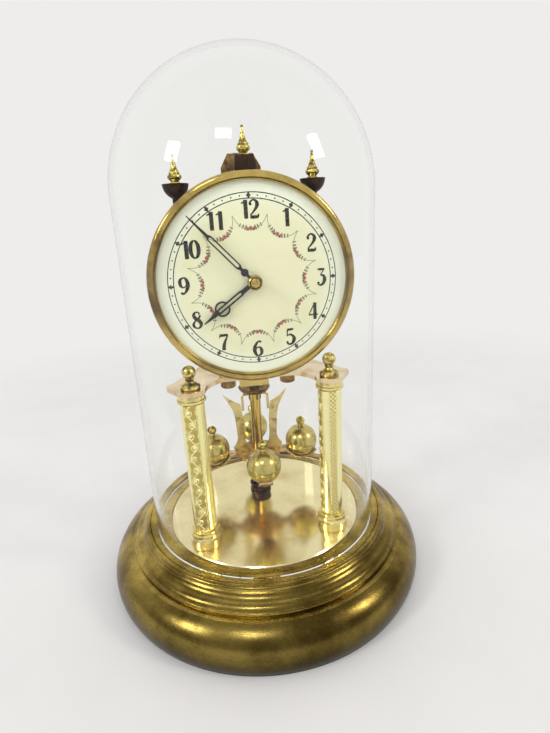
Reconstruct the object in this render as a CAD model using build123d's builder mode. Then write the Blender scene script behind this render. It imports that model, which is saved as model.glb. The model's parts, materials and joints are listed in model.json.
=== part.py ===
from build123d import *
import os
from math import acos, atan2, cos, degrees, hypot, radians, sin, sqrt

# Desk pendulum clock: a torsion pendulum clock on two columns under a glass dome.
# Lengths are in millimetres. X is right, Y is back and Z is up, and the dial faces -Y.
# The origin is the middle of the felt on which the base stands.

os.makedirs("parts", exist_ok=True)

# Driving dimensions of the whole clock
base_top = 36.3
base_rim_width = 28.4
dome_wall = 2.2
dome_side_clearance = 7.5
dome_headroom = 37.4
column_spread = 38.5
column_forward = 27.8
column_radius = 6.65
column_stack = 94.7
platform_thickness = 2.5
bezel_radius = 54.6
bezel_width = 4.6
bezel_overhang = 0.5
plates_forward = 16.0
plate_thickness = 1.6
plate_gap = 20.0
suspension_back = 17.65
ball_radius = 10.75
side_finial_spread = 35.6
finial_height = 14.0

# Fits and clearances that several pieces share
running_gap = 0.3
shaft_clearance = 0.05
hole_clearance = 0.5
overrun = 1.0

# Stack of the dial in front of the movement, from the plate to the front of the bezel
motion_wheel_thickness = 1.2
motion_room = 0.8
dial_backplate_thickness = 1.0
dial_thickness = 0.8
dial_rise = 2.0
bezel_stand = 1.4

dial_backplate_back = -plates_forward - 4 * running_gap - 2 * motion_wheel_thickness - motion_room
dial_edge_back = dial_backplate_back - dial_backplate_thickness
dial_front = dial_edge_back - dial_thickness - dial_rise
bezel_front = dial_front - bezel_stand
dome_radius = hypot(bezel_radius, bezel_front) + dome_side_clearance + dome_wall
base_radius = dome_radius + base_rim_width

# Heights of the frame above the base, each from the piece that carries it
barrel_drop = 29.1
escape_rise = 24.0
escape_radius = 8.0
anchor_rise_share = 1.43
corner_pillar_rise = 32.9
corner_pillar_radius = 4.0
top_pillar_rise = 10.96
arch_margin = 0.5
pillar_seat_share = 0.85
side_cup_rise = 13.8
crest_height = 11.6

platform_top = base_top + column_stack
dial_centre_height = platform_top + bezel_radius - bezel_overhang
barrel_arbor_height = dial_centre_height - barrel_drop
escape_arbor_height = dial_centre_height + escape_rise
anchor_height = escape_arbor_height + escape_radius * anchor_rise_share
corner_pillar_height = dial_centre_height + corner_pillar_rise
top_pillar_height = anchor_height + top_pillar_rise
arch_top_height = top_pillar_height + corner_pillar_radius + arch_margin
corner_seat_height = corner_pillar_height + corner_pillar_radius * pillar_seat_share
top_seat_height = top_pillar_height + corner_pillar_radius * pillar_seat_share
side_finial_height = corner_seat_height + side_cup_rise
centre_finial_height = arch_top_height + crest_height
clock_height = centre_finial_height + finial_height + dome_headroom


# Planes and outlines that many pieces use
def front_plane(y):
    return Plane(origin=(0, y, 0), x_dir=(1, 0, 0), z_dir=(0, -1, 0))


def upright_plane(x, y, turn=0):
    across = (cos(radians(turn)), sin(radians(turn)), 0)
    return Plane(origin=(x, y, 0), x_dir=across, z_dir=(across[1], -across[0], 0))


def arbor_plane(x, z):
    return Plane(origin=(x, 0, z), x_dir=(1, 0, 0), z_dir=(0, 0, 1))


def hand_plane(y, clock_angle):
    # The upright of this plane points at a time on the dial, turned clockwise from twelve
    turn = radians(clock_angle)
    return Plane(origin=(0, y, dial_centre_height), x_dir=(cos(turn), 0, -sin(turn)), z_dir=(0, -1, 0))


def draw(points):
    # Closed outline of (x, y) or (x, y, bulge) points; a bulge bows the run that ends there to its right
    ring = list(points) + list(points[:1])
    for start, end in zip(ring, ring[1:]):
        bulge_share = end[2] if len(end) > 2 else 0
        chord = hypot(end[0] - start[0], end[1] - start[1])
        if bulge_share:
            SagittaArc(start[:2], end[:2], -bulge_share * chord)
        else:
            Line(start[:2], end[:2])


def lathe(points, x=0, y=0, mode=Mode.ADD):
    # Turns (radius, height) points about the upright axis through x, y
    with BuildSketch(upright_plane(x, y)) as profile:
        with BuildLine():
            draw(points)
        make_face()
    revolve(profile.sketch, axis=Axis((x, y, 0), (0, 0, 1)), mode=mode)


def lathe_along_y(points, x, z, mode=Mode.ADD):
    # Turns (radius, y) points about the axis through x, z that runs front to back
    with BuildSketch(arbor_plane(x, z)) as profile:
        with BuildLine():
            draw(points)
        make_face()
    revolve(profile.sketch, axis=Axis((x, 0, z), (0, 1, 0)), mode=mode)


def rod(radius, bottom, top, x=0, y=0, mode=Mode.ADD):
    lathe([(0, bottom), (radius, bottom), (radius, top), (0, top)], x, y, mode)


def rod_along_y(radius, front, back, x, z, mode=Mode.ADD):
    lathe_along_y([(0, front), (radius, front), (radius, back), (0, back)], x, z, mode)


def scaled(shares, radius, height, bottom):
    return [(row[0] * radius, bottom + row[1] * height) + tuple(row[2:]) for row in shares]


def ball_end(radius, neck_share, top):
    # Points of a ball on a neck, from the neck up to the top of the ball
    rise = sqrt(1 - neck_share**2)
    half_turn = acos(-rise) / 2
    bulge_share = (1 - cos(half_turn)) / (2 * sin(half_turn))
    return [(neck_share * radius, top - radius - rise * radius), (0, top, bulge_share)]


def save(piece, label):
    piece.part.label = label
    export_step(piece.part, "parts/" + label + ".step")


column_places = [(-column_spread, -column_forward), (column_spread, -column_forward)]

# Base shell: spun brass with a bulging skirt, a groove, a roll, an ogee, a bead and the seat of the dome
base_wall = 1.4
felt_thickness = 1.2
skirt_flange_width = 7.0
groove_rise = 0.4
roll_foot_rise = 0.8
bead_step = 0.7
bead_groove_width = 0.6
bead_groove_depth = 0.5
dome_seat_depth = 1.3
dome_seat_clearance = 0.4
ridge_step = 0.3
ridge_round = 0.5
ridge_width = 6.1
plate_disc_thickness = 2.0
plate_edge_gap = 0.4
ledge_clearance = 1.0
washer_radius = 5.0
roll_bulge_share = 0.4
ogee_bulge_share = 0.12
bead_bulge_share = 0.3
ridge_bulge_share = 0.1

# Shares of the rim from the dome seat out to the edge, and of the height of the base
foot_reach_share = 0.9415
skirt_middle_share = 0.2397
groove_outer_shares = (0.6357, 0.6866)
groove_inner_share = 0.5214
roll_top_shares = (0.4964, 0.7713)
ogee_middle_shares = (0.3857, 0.8457)
bead_foot_shares = (0.2679, 0.9229)
bead_top_share = 0.1429

dome_seat_height = base_top - dome_seat_depth
dome_seat_outer = dome_radius + dome_seat_clearance
dome_seat_inner = dome_radius - dome_wall - dome_seat_clearance
ridge_top = base_top - ridge_step
recess_radius = dome_seat_inner - ridge_width
plate_disc_radius = recess_radius - plate_edge_gap
plate_ledge_height = ridge_top - plate_disc_thickness
plate_ledge_radius = hypot(column_spread, column_forward) + washer_radius + ledge_clearance
ledge_underside = plate_ledge_height - base_wall


def rim_point(shares):
    return (dome_seat_outer + shares[0] * (base_radius - dome_seat_outer), base_top * shares[1])


groove_outer = rim_point(groove_outer_shares)
groove_inner_radius = rim_point((groove_inner_share, 0))[0]
roll_foot = (groove_inner_radius, groove_outer[1] + groove_rise + roll_foot_rise)
roll_top = rim_point(roll_top_shares)
ogee_middle = rim_point(ogee_middle_shares)
bead_foot = rim_point(bead_foot_shares)
bead_top_radius = rim_point((bead_top_share, 0))[0]
skirt_middle_height = base_top * skirt_middle_share
shell_foot_radius = rim_point((foot_reach_share, 0))[0]
flange_inner_radius = shell_foot_radius - skirt_flange_width
flange_top = felt_thickness + base_wall
groove_underside = groove_outer[1] - base_wall
neck_inner_radius = groove_inner_radius - base_wall

with BuildPart() as base_shell:
    with BuildSketch(Plane.XZ):
        with BuildLine():
            ThreePointArc(
                (shell_foot_radius, felt_thickness), (base_radius, skirt_middle_height), groove_outer
            )
            Polyline(groove_outer, (groove_inner_radius, groove_outer[1] + groove_rise), roll_foot)
            roll_chord = hypot(roll_foot[0] - roll_top[0], roll_top[1] - roll_foot[1])
            SagittaArc(roll_foot, roll_top, -roll_bulge_share * roll_chord)
            lower_chord = hypot(roll_top[0] - ogee_middle[0], ogee_middle[1] - roll_top[1])
            SagittaArc(roll_top, ogee_middle, -ogee_bulge_share * lower_chord)
            upper_chord = hypot(ogee_middle[0] - bead_foot[0], bead_foot[1] - ogee_middle[1])
            SagittaArc(ogee_middle, bead_foot, ogee_bulge_share * upper_chord)
            bead_start = (bead_foot[0] - bead_step, bead_foot[1] + bead_step)
            Line(bead_foot, bead_start)
            bead_chord = hypot(bead_start[0] - bead_top_radius, base_top - bead_start[1])
            SagittaArc(bead_start, (bead_top_radius, base_top), -bead_bulge_share * bead_chord)
            Polyline(
                (bead_top_radius, base_top),
                (bead_top_radius - bead_groove_width / 2, base_top - bead_groove_depth),
                (bead_top_radius - bead_groove_width, base_top),
                (dome_seat_outer, base_top),
                (dome_seat_outer, dome_seat_height),
                (dome_seat_inner, dome_seat_height),
                (dome_seat_inner, ridge_top - ridge_round),
            )
            SagittaArc(
                (dome_seat_inner, ridge_top - ridge_round),
                (recess_radius, ridge_top - ridge_round),
                -ridge_bulge_share * (dome_seat_inner - recess_radius),
            )
            Polyline(
                (recess_radius, ridge_top - ridge_round),
                (recess_radius, plate_ledge_height),
                (plate_ledge_radius, plate_ledge_height),
                (plate_ledge_radius, ledge_underside),
                (bead_foot[0] - base_wall, ledge_underside),
                (ogee_middle[0] - base_wall, ogee_middle[1] - base_wall),
                (neck_inner_radius, roll_top[1] - base_wall),
                (neck_inner_radius, groove_underside),
                (groove_outer[0], groove_underside),
            )
            ThreePointArc(
                (groove_outer[0], groove_underside),
                (base_radius - base_wall, skirt_middle_height),
                (shell_foot_radius - base_wall, flange_top),
            )
            Polyline(
                (shell_foot_radius - base_wall, flange_top),
                (flange_inner_radius, flange_top),
                (flange_inner_radius, felt_thickness),
                (shell_foot_radius, felt_thickness),
            )
        make_face()
    revolve(axis=Axis.Z)
save(base_shell, "base_shell")

# Felt ring under the rolled foot of the base
felt_inset = 0.6

with BuildPart() as base_felt:
    with BuildSketch(Plane.XY):
        Circle(shell_foot_radius - felt_inset)
        Circle(flange_inner_radius + felt_inset, mode=Mode.SUBTRACT)
    extrude(amount=felt_thickness)
save(base_felt, "base_felt")

# Polished floor plate that carries the columns and the guide cup
plate_edge_chamfer = 0.6
tie_rod_radius = 1.6
cup_stud_radius = 1.5

with BuildPart() as base_plate:
    with BuildSketch(Plane.XY.offset(plate_ledge_height)):
        Circle(plate_disc_radius)
        with Locations(*column_places):
            Circle(tie_rod_radius + hole_clearance, mode=Mode.SUBTRACT)
        with Locations((0, suspension_back)):
            Circle(cup_stud_radius + shaft_clearance, mode=Mode.SUBTRACT)
    extrude(amount=plate_disc_thickness)
    chamfer(base_plate.faces().sort_by(Axis.Z)[-1].outer_wire().edges(), plate_edge_chamfer)
save(base_plate, "base_plate")

# Guide cup round the foot of the pendulum, riveted to the floor plate
cup_radius = 7.1
cup_wall = 1.1
cup_height = 6.0
cup_floor = 1.3
cup_foot_height = 1.2
cup_foot_width = 0.6
cup_lip_round = 0.5
cup_rivet_height = 0.8
cup_rivet_spread = 0.7

cup_top = ridge_top + cup_height
rivet_bottom = plate_ledge_height - cup_rivet_height

with BuildPart() as guide_cup:
    lathe(
        [
            (0, rivet_bottom),
            (cup_stud_radius + cup_rivet_spread, rivet_bottom),
            (cup_stud_radius + cup_rivet_spread, plate_ledge_height),
            (cup_stud_radius, plate_ledge_height),
            (cup_stud_radius, ridge_top),
            (cup_radius, ridge_top),
            (cup_radius, ridge_top + cup_foot_height),
            (cup_radius - cup_foot_width, ridge_top + cup_foot_height),
            (cup_radius - cup_foot_width, cup_top - cup_lip_round),
            (cup_radius, cup_top - cup_lip_round),
            (cup_radius, cup_top),
            (cup_radius - cup_foot_width - cup_wall, cup_top),
            (cup_radius - cup_foot_width - cup_wall, ridge_top + cup_floor),
            (0, ridge_top + cup_floor),
        ],
        0,
        suspension_back,
    )
save(guide_cup, "guide_cup")

# Columns: a turned foot, a rolled brass tube and a turned collar on one tie rod each
foot_radius = 9.3
foot_height = 7.6
collar_radius = 7.9
collar_height = 5.0
tube_wall = 0.9
spigot_height = 4.0
foot_shares = [
    (1, 0),
    (1, 0.3),
    (0.9, 0.36),
    (0.84, 0.52),
    (0.92, 0.56),
    (0.92, 0.78),
    (0.84, 0.84),
    (0.84, 1),
]
collar_shares = [(0.93, 1), (0.93, 0.46), (1, 0.4), (1, 0.14), (0.93, 0)]

foot_top = ridge_top + foot_height
platform_underside = platform_top - platform_thickness
collar_bottom = platform_underside - collar_height
spigot_radius = column_radius - tube_wall - shaft_clearance
rod_hole_radius = tie_rod_radius + shaft_clearance

with BuildPart() as column_feet:
    for place in column_places:
        spigot_top = foot_top + spigot_height
        foot_outline = scaled(foot_shares, foot_radius, foot_height, ridge_top)
        lathe(
            [(rod_hole_radius, ridge_top)]
            + foot_outline
            + [(spigot_radius, foot_top), (spigot_radius, spigot_top), (rod_hole_radius, spigot_top)],
            *place,
        )
save(column_feet, "column_feet")

with BuildPart() as column_tubes:
    for place in column_places:
        with BuildSketch(Plane.XY.offset(foot_top)):
            with Locations(place):
                Circle(column_radius)
                Circle(column_radius - tube_wall, mode=Mode.SUBTRACT)
        extrude(amount=collar_bottom - foot_top)
save(column_tubes, "column_tubes")

with BuildPart() as column_collars:
    for place in column_places:
        spigot_bottom = collar_bottom - spigot_height
        collar_outline = scaled(collar_shares, collar_radius, collar_height, collar_bottom)
        lathe(
            [(rod_hole_radius, platform_underside)]
            + collar_outline
            + [
                (spigot_radius, collar_bottom),
                (spigot_radius, spigot_bottom),
                (rod_hole_radius, spigot_bottom),
            ],
            *place,
        )
save(column_collars, "column_collars")

# Tie rods through base, columns and platform, with a nut and washer under the base
rod_tail = 7.0
rod_head = 6.5
base_nut_width = 6.4
base_nut_height = 2.6
washer_thickness = 0.8

rod_top = platform_top + rod_head
rod_bottom = plate_ledge_height - rod_tail
washer_bottom = plate_ledge_height - washer_thickness

with BuildPart() as tie_rods:
    for place in column_places:
        rod(tie_rod_radius, rod_bottom, rod_top, *place)
save(tie_rods, "tie_rods")

with BuildPart() as base_nuts:
    for place in column_places:
        with BuildSketch(Plane.XY.offset(washer_bottom - base_nut_height)):
            with Locations(place):
                RegularPolygon(base_nut_width / 2, 6, major_radius=False)
                Circle(rod_hole_radius, mode=Mode.SUBTRACT)
        extrude(amount=base_nut_height)
        with BuildSketch(Plane.XY.offset(washer_bottom)):
            with Locations(place):
                Circle(washer_radius)
                Circle(rod_hole_radius, mode=Mode.SUBTRACT)
        extrude(amount=washer_thickness)
save(base_nuts, "base_nuts")

# Finial nuts that clamp the platform on the columns
finial_nut_radius = 5.4
finial_nut_height = 13.0
nut_bore_slack = 0.8
nut_ball_radius = 3.7
nut_ball_neck_share = 0.62
finial_nut_shares = [
    (0.86, 0),
    (1, 0.05),
    (1, 0.15),
    (0.84, 0.2),
    (0.52, 0.26),
    (0.38, 0.34, -0.12),
    (0.46, 0.42),
    (0.46, 0.47),
]

with BuildPart() as finial_nuts:
    for place in column_places:
        nut_bore_top = rod_top + nut_bore_slack
        lathe(
            [(0, nut_bore_top), (rod_hole_radius, nut_bore_top), (rod_hole_radius, platform_top)]
            + scaled(finial_nut_shares, finial_nut_radius, finial_nut_height, platform_top)
            + ball_end(nut_ball_radius, nut_ball_neck_share, platform_top + finial_nut_height),
            *place,
        )
save(finial_nuts, "finial_nuts")

# Platform: a flat brass butterfly whose lobes sit on the columns and whose tips point past them
platform_inset = 0.5
platform_front_half = 20.0
lobe_radius = 8.2
tip_overhang = 13.1
tip_setback = 5.2
tip_width = 3.2
shoulder_overhang = 6.9
shoulder_forward = 9.0
waist_inset = 4.5
waist_back = 12.0
platform_rear_half = 24.0
platform_rear_margin = 9.35
movement_foot_spread = 17.5
foot_screw_inset = 5.0
movement_screw_radius = 1.5
suspension_hole_radius = 5.0
front_bow_share = -0.1
rear_bow_share = -0.06
lobe_bulge_share = 0.33

platform_front = plates_forward - platform_inset
platform_rear = suspension_back + platform_rear_margin
tip_spread = column_spread + tip_overhang
tip_forward = column_forward - tip_setback
movement_foot_forward = plates_forward - foot_screw_inset

lobe_inner = (column_spread - lobe_radius, -column_forward)
lobe_outer = (
    column_spread + lobe_radius * cos(radians(45)),
    -column_forward - lobe_radius * sin(radians(45)),
)

with BuildPart() as platform:
    with BuildSketch(Plane.XY.offset(platform_underside)):
        with BuildLine():
            draw(
                [
                    (0, platform_rear),
                    (0, -platform_front),
                    (platform_front_half, -platform_front),
                    (lobe_inner[0], lobe_inner[1], front_bow_share),
                    (lobe_outer[0], lobe_outer[1], lobe_bulge_share),
                    (tip_spread, -tip_forward),
                    (tip_spread, -tip_forward + tip_width),
                    (column_spread + shoulder_overhang, -shoulder_forward, front_bow_share),
                    (column_spread - waist_inset, waist_back, rear_bow_share),
                    (platform_rear_half, platform_rear),
                ]
            )
        make_face()
        mirror(about=Plane.YZ)
        with Locations(*column_places):
            Circle(tie_rod_radius + hole_clearance, mode=Mode.SUBTRACT)
        with Locations(
            (-movement_foot_spread, -movement_foot_forward), (movement_foot_spread, -movement_foot_forward)
        ):
            Circle(movement_screw_radius + hole_clearance, mode=Mode.SUBTRACT)
        with Locations((0, suspension_back)):
            Circle(suspension_hole_radius, mode=Mode.SUBTRACT)
    extrude(amount=platform_thickness)
save(platform, "platform")

# Movement frame: two shaped plates held apart by turned pillars
foot_pillar_radius = 4.5
pillar_waist_share = 0.8
plate_foot_rise = 9.0
plate_body_half = 30.0
plate_body_rise = 19.0
shoulder_slope = 6.5
shoulder_drop = 2.5
shoulder_margin = 1.0
shoulder_side_margin = 0.8
arch_foot_half = 14.0
arch_top_half = 9.0
plate_corner_round = 3.4
arbor_radius = 0.9
arbor_body_radius = 1.1
centre_arbor_radius = 1.5
winding_pivot_radius = 2.2

front_plate_front = -plates_forward
front_plate_back = front_plate_front + plate_thickness
back_plate_front = front_plate_back + plate_gap
back_plate_back = back_plate_front + plate_thickness
foot_pillar_height = platform_top + foot_pillar_radius * pillar_seat_share
pillars = [
    (-movement_foot_spread, foot_pillar_height, foot_pillar_radius),
    (movement_foot_spread, foot_pillar_height, foot_pillar_radius),
    (-side_finial_spread, corner_pillar_height, corner_pillar_radius),
    (side_finial_spread, corner_pillar_height, corner_pillar_radius),
    (0, top_pillar_height, corner_pillar_radius),
]
plate_foot_half = movement_foot_spread + foot_pillar_radius
shoulder_half = side_finial_spread + corner_pillar_radius + shoulder_side_margin
shoulder_bottom_height = corner_pillar_height - corner_pillar_radius - shoulder_drop
shoulder_foot_height = shoulder_bottom_height - shoulder_slope
shoulder_top_height = corner_pillar_height + corner_pillar_radius + shoulder_margin

# Wheels of the going train: teeth and modules, with pitch radii of half a module a tooth
barrel_teeth = 54
barrel_module = 0.6
second_pinion_leaves = 9
second_teeth = 56
second_module = 0.42
centre_pinion_leaves = 10
centre_teeth = 48
centre_module = 0.5
third_pinion_leaves = 12
third_teeth = 48
third_module = 0.4
escape_pinion_leaves = 12
cannon_leaves = 12
cannon_module = 0.35
minute_teeth = 36
minute_pinion_leaves = 10
hour_teeth = 40
escape_tooth_count = 15
barrel_left = 9.5
minute_wheel_angle = -30.0


def pitch_radius(teeth, module):
    return teeth * module / 2


def around(centre, reach, bearing):
    # Place at a reach and bearing from a centre on the dial's plane
    return (centre[0] + reach * cos(radians(bearing)), centre[1] + reach * sin(radians(bearing)))


def meet(near, far, near_reach, far_reach, side):
    # Place at the stated reaches from two centres, to one side of the line between them
    across = far[0] - near[0]
    rise = far[1] - near[1]
    span = hypot(across, rise)
    along = (near_reach**2 - far_reach**2 + span**2) / (2 * span)
    out = side * sqrt(near_reach**2 - along**2)
    return (
        near[0] + (across * along - rise * out) / span,
        near[1] + (rise * along + across * out) / span,
    )


hub = (0, dial_centre_height)
barrel_axis = (-barrel_left, barrel_arbor_height)
escape_axis = (0, escape_arbor_height)
second_axis = meet(
    barrel_axis,
    hub,
    pitch_radius(barrel_teeth + second_pinion_leaves, barrel_module),
    pitch_radius(second_teeth + centre_pinion_leaves, second_module),
    -1,
)
third_axis = meet(
    hub,
    escape_axis,
    pitch_radius(centre_teeth + third_pinion_leaves, centre_module),
    pitch_radius(third_teeth + escape_pinion_leaves, third_module),
    1,
)
minute_reach = pitch_radius(cannon_leaves + minute_teeth, cannon_module)
hour_module = 2 * minute_reach / (hour_teeth + minute_pinion_leaves)
minute_axis = around(hub, minute_reach, minute_wheel_angle)


def meshed(near, far, near_phase, near_teeth, far_teeth):
    # Phase of the far wheel whose gap faces the tooth of the near wheel on their line of centres
    bearing = degrees(atan2(far[1] - near[1], far[0] - near[0]))
    return bearing + 180 - near_teeth / far_teeth * (near_phase - bearing) + 180 / far_teeth


centre_phase = 0
cannon_phase = 0
third_pinion_phase = meshed(hub, third_axis, centre_phase, centre_teeth, third_pinion_leaves)
third_phase = 0
escape_pinion_phase = meshed(third_axis, escape_axis, third_phase, third_teeth, escape_pinion_leaves)
centre_pinion_phase = 0
second_phase = meshed(hub, second_axis, centre_pinion_phase, centre_pinion_leaves, second_teeth)
second_pinion_phase = 0
barrel_phase = meshed(second_axis, barrel_axis, second_pinion_phase, second_pinion_leaves, barrel_teeth)
minute_phase = meshed(hub, minute_axis, cannon_phase, cannon_leaves, minute_teeth)
minute_pinion_phase = 0
hour_phase = meshed(minute_axis, hub, minute_pinion_phase, minute_pinion_leaves, hour_teeth)

anchor_axis = (0, anchor_height)

# Outline of both plates, with every pivot hole
plate_half_outline = [
    (0, platform_top),
    (plate_foot_half, platform_top),
    (plate_foot_half, platform_top + plate_foot_rise),
    (plate_body_half, platform_top + plate_body_rise),
    (plate_body_half, shoulder_foot_height),
    (shoulder_half, shoulder_bottom_height),
    (shoulder_half, shoulder_top_height),
    (arch_foot_half, shoulder_top_height),
    (arch_top_half, arch_top_height),
    (0, arch_top_height),
]
plate_screw_radius = 1.2
bracket_thickness = 1.6
bracket_screw_spread = 7.5
bracket_screw_drop = 2.5
bracket_screw_height = top_pillar_height - bracket_screw_drop
bracket_screw_places = [
    (-bracket_screw_spread, bracket_screw_height),
    (bracket_screw_spread, bracket_screw_height),
]
pivot_places = [(second_axis, arbor_radius), (third_axis, arbor_radius), (escape_axis, arbor_radius)]
pivot_places += [(hub, centre_arbor_radius), (barrel_axis, winding_pivot_radius)]
pivot_places += [(anchor_axis, arbor_radius)]


def movement_plate(y_front, screw_places):
    with BuildSketch(front_plane(y_front + plate_thickness)) as outline:
        with BuildLine():
            draw(plate_half_outline)
        make_face()
        mirror(about=Plane.YZ)
        side_corners = outline.vertices().filter_by(lambda v: abs(v.X) > arch_top_half / 2)
        fillet(side_corners, plate_corner_round)
        for place, radius in pivot_places:
            with Locations(place):
                Circle(radius + shaft_clearance, mode=Mode.SUBTRACT)
        with Locations(*screw_places):
            Circle(plate_screw_radius + shaft_clearance, mode=Mode.SUBTRACT)
    extrude(outline.sketch, amount=plate_thickness)


pillar_places = [(x, z) for x, z, radius in pillars]
minute_stud_radius = 1.0
minute_stud_length = 4.0

with BuildPart() as front_plate:
    movement_plate(front_plate_front, pillar_places)
    rod_along_y(minute_stud_radius, front_plate_front - minute_stud_length, front_plate_front, *minute_axis)
save(front_plate, "movement_front_plate")

# The back plate also carries the stud of the click and the post of its spring
click_left = 11.5
click_rise = 9.0
click_stud_radius = 1.2
click_post_left = 17.0
click_post_rise = 14.5
click_post_radius = 1.3
click_thickness = 1.5

click_pivot = (barrel_axis[0] - click_left, barrel_axis[1] + click_rise)
click_post = (barrel_axis[0] - click_post_left, barrel_axis[1] + click_post_rise)

click_front = back_plate_back + running_gap
click_back = click_front + click_thickness

with BuildPart() as back_plate:
    movement_plate(back_plate_front, pillar_places + bracket_screw_places)
    rod_along_y(click_stud_radius, back_plate_back, click_back + running_gap, *click_pivot)
save(back_plate, "movement_back_plate")

# Five turned pillars; two stand on the platform and three carry the finials
screw_reach = 3.5
pillar_land = 7.0
finial_stem_radius = 2.2
finial_inset = 4.2
movement_screw_reach = 2.4

finial_forward = plates_forward - finial_inset

with BuildPart() as movement_pillars:
    for x, z, radius in pillars:
        waist = radius * pillar_waist_share
        lathe_along_y(
            [
                (0, front_plate_back),
                (radius, front_plate_back),
                (radius, front_plate_back + pillar_land),
                (waist, front_plate_back + pillar_land),
                (waist, back_plate_front - pillar_land),
                (radius, back_plate_front - pillar_land),
                (radius, back_plate_front),
                (0, back_plate_front),
            ],
            x,
            z,
        )
        for end, direction in ((front_plate_back, 1), (back_plate_front, -1)):
            ends = sorted((end, end + direction * screw_reach))
            rod_along_y(plate_screw_radius + shaft_clearance, *ends, x, z, mode=Mode.SUBTRACT)
        if z < dial_centre_height:
            seat = platform_top
            with BuildSketch(Plane.XY.offset(seat - radius)):
                with Locations((x, (front_plate_back + back_plate_front) / 2)):
                    Rectangle(2 * radius, plate_gap)
            extrude(amount=radius, mode=Mode.SUBTRACT)
            rod(
                movement_screw_radius + shaft_clearance,
                seat,
                seat + movement_screw_reach,
                x,
                -movement_foot_forward,
                mode=Mode.SUBTRACT,
            )
        else:
            seat = z + radius * pillar_seat_share
            spot_radius = finial_stem_radius + shaft_clearance
            rod(spot_radius, seat, z + 2 * radius, x, -finial_forward, mode=Mode.SUBTRACT)
save(movement_pillars, "movement_pillars")

# Screws that hold the plates on the pillars
screw_head_radius = 2.6
screw_head_height = 1.4
screw_slot_width = 0.6
screw_slot_depth = 0.6

screw_shank = plate_thickness + screw_reach - running_gap
screw_faces = [(place, front_plate_front, 1) for place in pillar_places]
screw_faces += [(place, back_plate_back, -1) for place in pillar_places]
screw_faces += [(place, back_plate_back + bracket_thickness, -1) for place in bracket_screw_places]

with BuildPart() as plate_screws:
    for place, face, inward in screw_faces:
        rod_along_y(screw_head_radius, *sorted((face, face - inward * screw_head_height)), *place)
        rod_along_y(plate_screw_radius, *sorted((face, face + inward * screw_shank)), *place)
        slot_floor = face - inward * (screw_head_height - screw_slot_depth)
        slot_mouth = face - inward * screw_head_height
        with BuildSketch(front_plane(max(slot_floor, slot_mouth))) as slot:
            with Locations(place):
                Rectangle(2 * screw_head_radius, screw_slot_width)
        extrude(slot.sketch, amount=screw_slot_depth, mode=Mode.SUBTRACT)
save(plate_screws, "plate_screws")

# Thumb screws under the platform that hold the movement down
thumb_head_radius = 4.4
thumb_head_height = 4.5
thumb_edge = 0.5

with BuildPart() as movement_screws:
    for x in (-movement_foot_spread, movement_foot_spread):
        head_bottom = platform_underside - thumb_head_height
        shank_top = platform_top + movement_screw_reach - running_gap
        lathe(
            [
                (0, head_bottom),
                (thumb_head_radius - thumb_edge, head_bottom),
                (thumb_head_radius, head_bottom + thumb_edge),
                (thumb_head_radius, platform_underside),
                (movement_screw_radius, platform_underside),
                (movement_screw_radius, shank_top),
                (0, shank_top),
            ],
            x,
            -movement_foot_forward,
        )
save(movement_screws, "movement_screws")

# Suspension guard under the platform, with a window round the foot of the spring
guard_half_width = 9.3
guard_half_depth = 6.0
guard_height = 13.8
guard_window_width = 9.0
guard_window_depth = 8.0
guard_edge = 0.8

with BuildPart() as suspension_guard:
    with BuildSketch(Plane.XY.offset(platform_underside - guard_height)) as guard_outline:
        with Locations((0, suspension_back)):
            Rectangle(2 * guard_half_width, 2 * guard_half_depth)
        chamfer(guard_outline.vertices(), guard_edge)
        with Locations((0, suspension_back)):
            Rectangle(guard_window_width, guard_window_depth, mode=Mode.SUBTRACT)
    extrude(guard_outline.sketch, amount=guard_height)
save(suspension_guard, "suspension_guard")

# Enamel dial: a thin domed disc on a flat brass backplate with three feet
dial_hole_radius = 2.5
bezel_band = 2.1
dial_inset = 1.0
dial_foot_radius = 1.5
dial_foot_reach = 29.5
dial_foot_angles = [-156, -24, 75]

dial_backplate_radius = bezel_radius - bezel_band
dial_radius = dial_backplate_radius - dial_inset
dial_bow_share = dial_rise / (4 * dial_radius)

with BuildPart() as dial:
    lathe_along_y(
        [
            (dial_hole_radius, dial_front),
            (dial_radius, dial_front + dial_rise, dial_bow_share),
            (dial_radius, dial_edge_back),
            (dial_hole_radius, dial_front + dial_thickness, -dial_bow_share),
        ],
        *hub,
    )
save(dial, "dial")

with BuildPart() as dial_backplate:
    with BuildSketch(front_plane(dial_backplate_back)) as backplate_outline:
        with Locations(hub):
            Circle(dial_backplate_radius)
            Circle(dial_hole_radius, mode=Mode.SUBTRACT)
    extrude(backplate_outline.sketch, amount=dial_backplate_thickness)
    for bearing in dial_foot_angles:
        foot_place = around(hub, dial_foot_reach, bearing)
        rod_along_y(dial_foot_radius, dial_backplate_back, front_plate_front, *foot_place)
save(dial_backplate, "dial_backplate")

# Bezel: a half-round ring in front with a band behind it that holds the dial
bezel_tail = 1.2
bezel_lip = 0.8
bezel_bulge_share = 0.5

bezel_opening_radius = bezel_radius - bezel_width
bezel_back = dial_backplate_back + bezel_tail
bezel_shoulder = bezel_front + bezel_bulge_share * (bezel_radius - bezel_opening_radius)
bezel_bore = dial_backplate_radius + shaft_clearance
bezel_lip_back = bezel_shoulder + bezel_lip

with BuildPart() as bezel:
    lathe_along_y(
        [
            (bezel_opening_radius, bezel_shoulder),
            (bezel_radius, bezel_shoulder, bezel_bulge_share),
            (bezel_radius, bezel_back),
            (bezel_bore, bezel_back),
            (bezel_bore, bezel_lip_back),
            (bezel_opening_radius, bezel_lip_back),
        ],
        *hub,
    )
save(bezel, "bezel")

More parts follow.
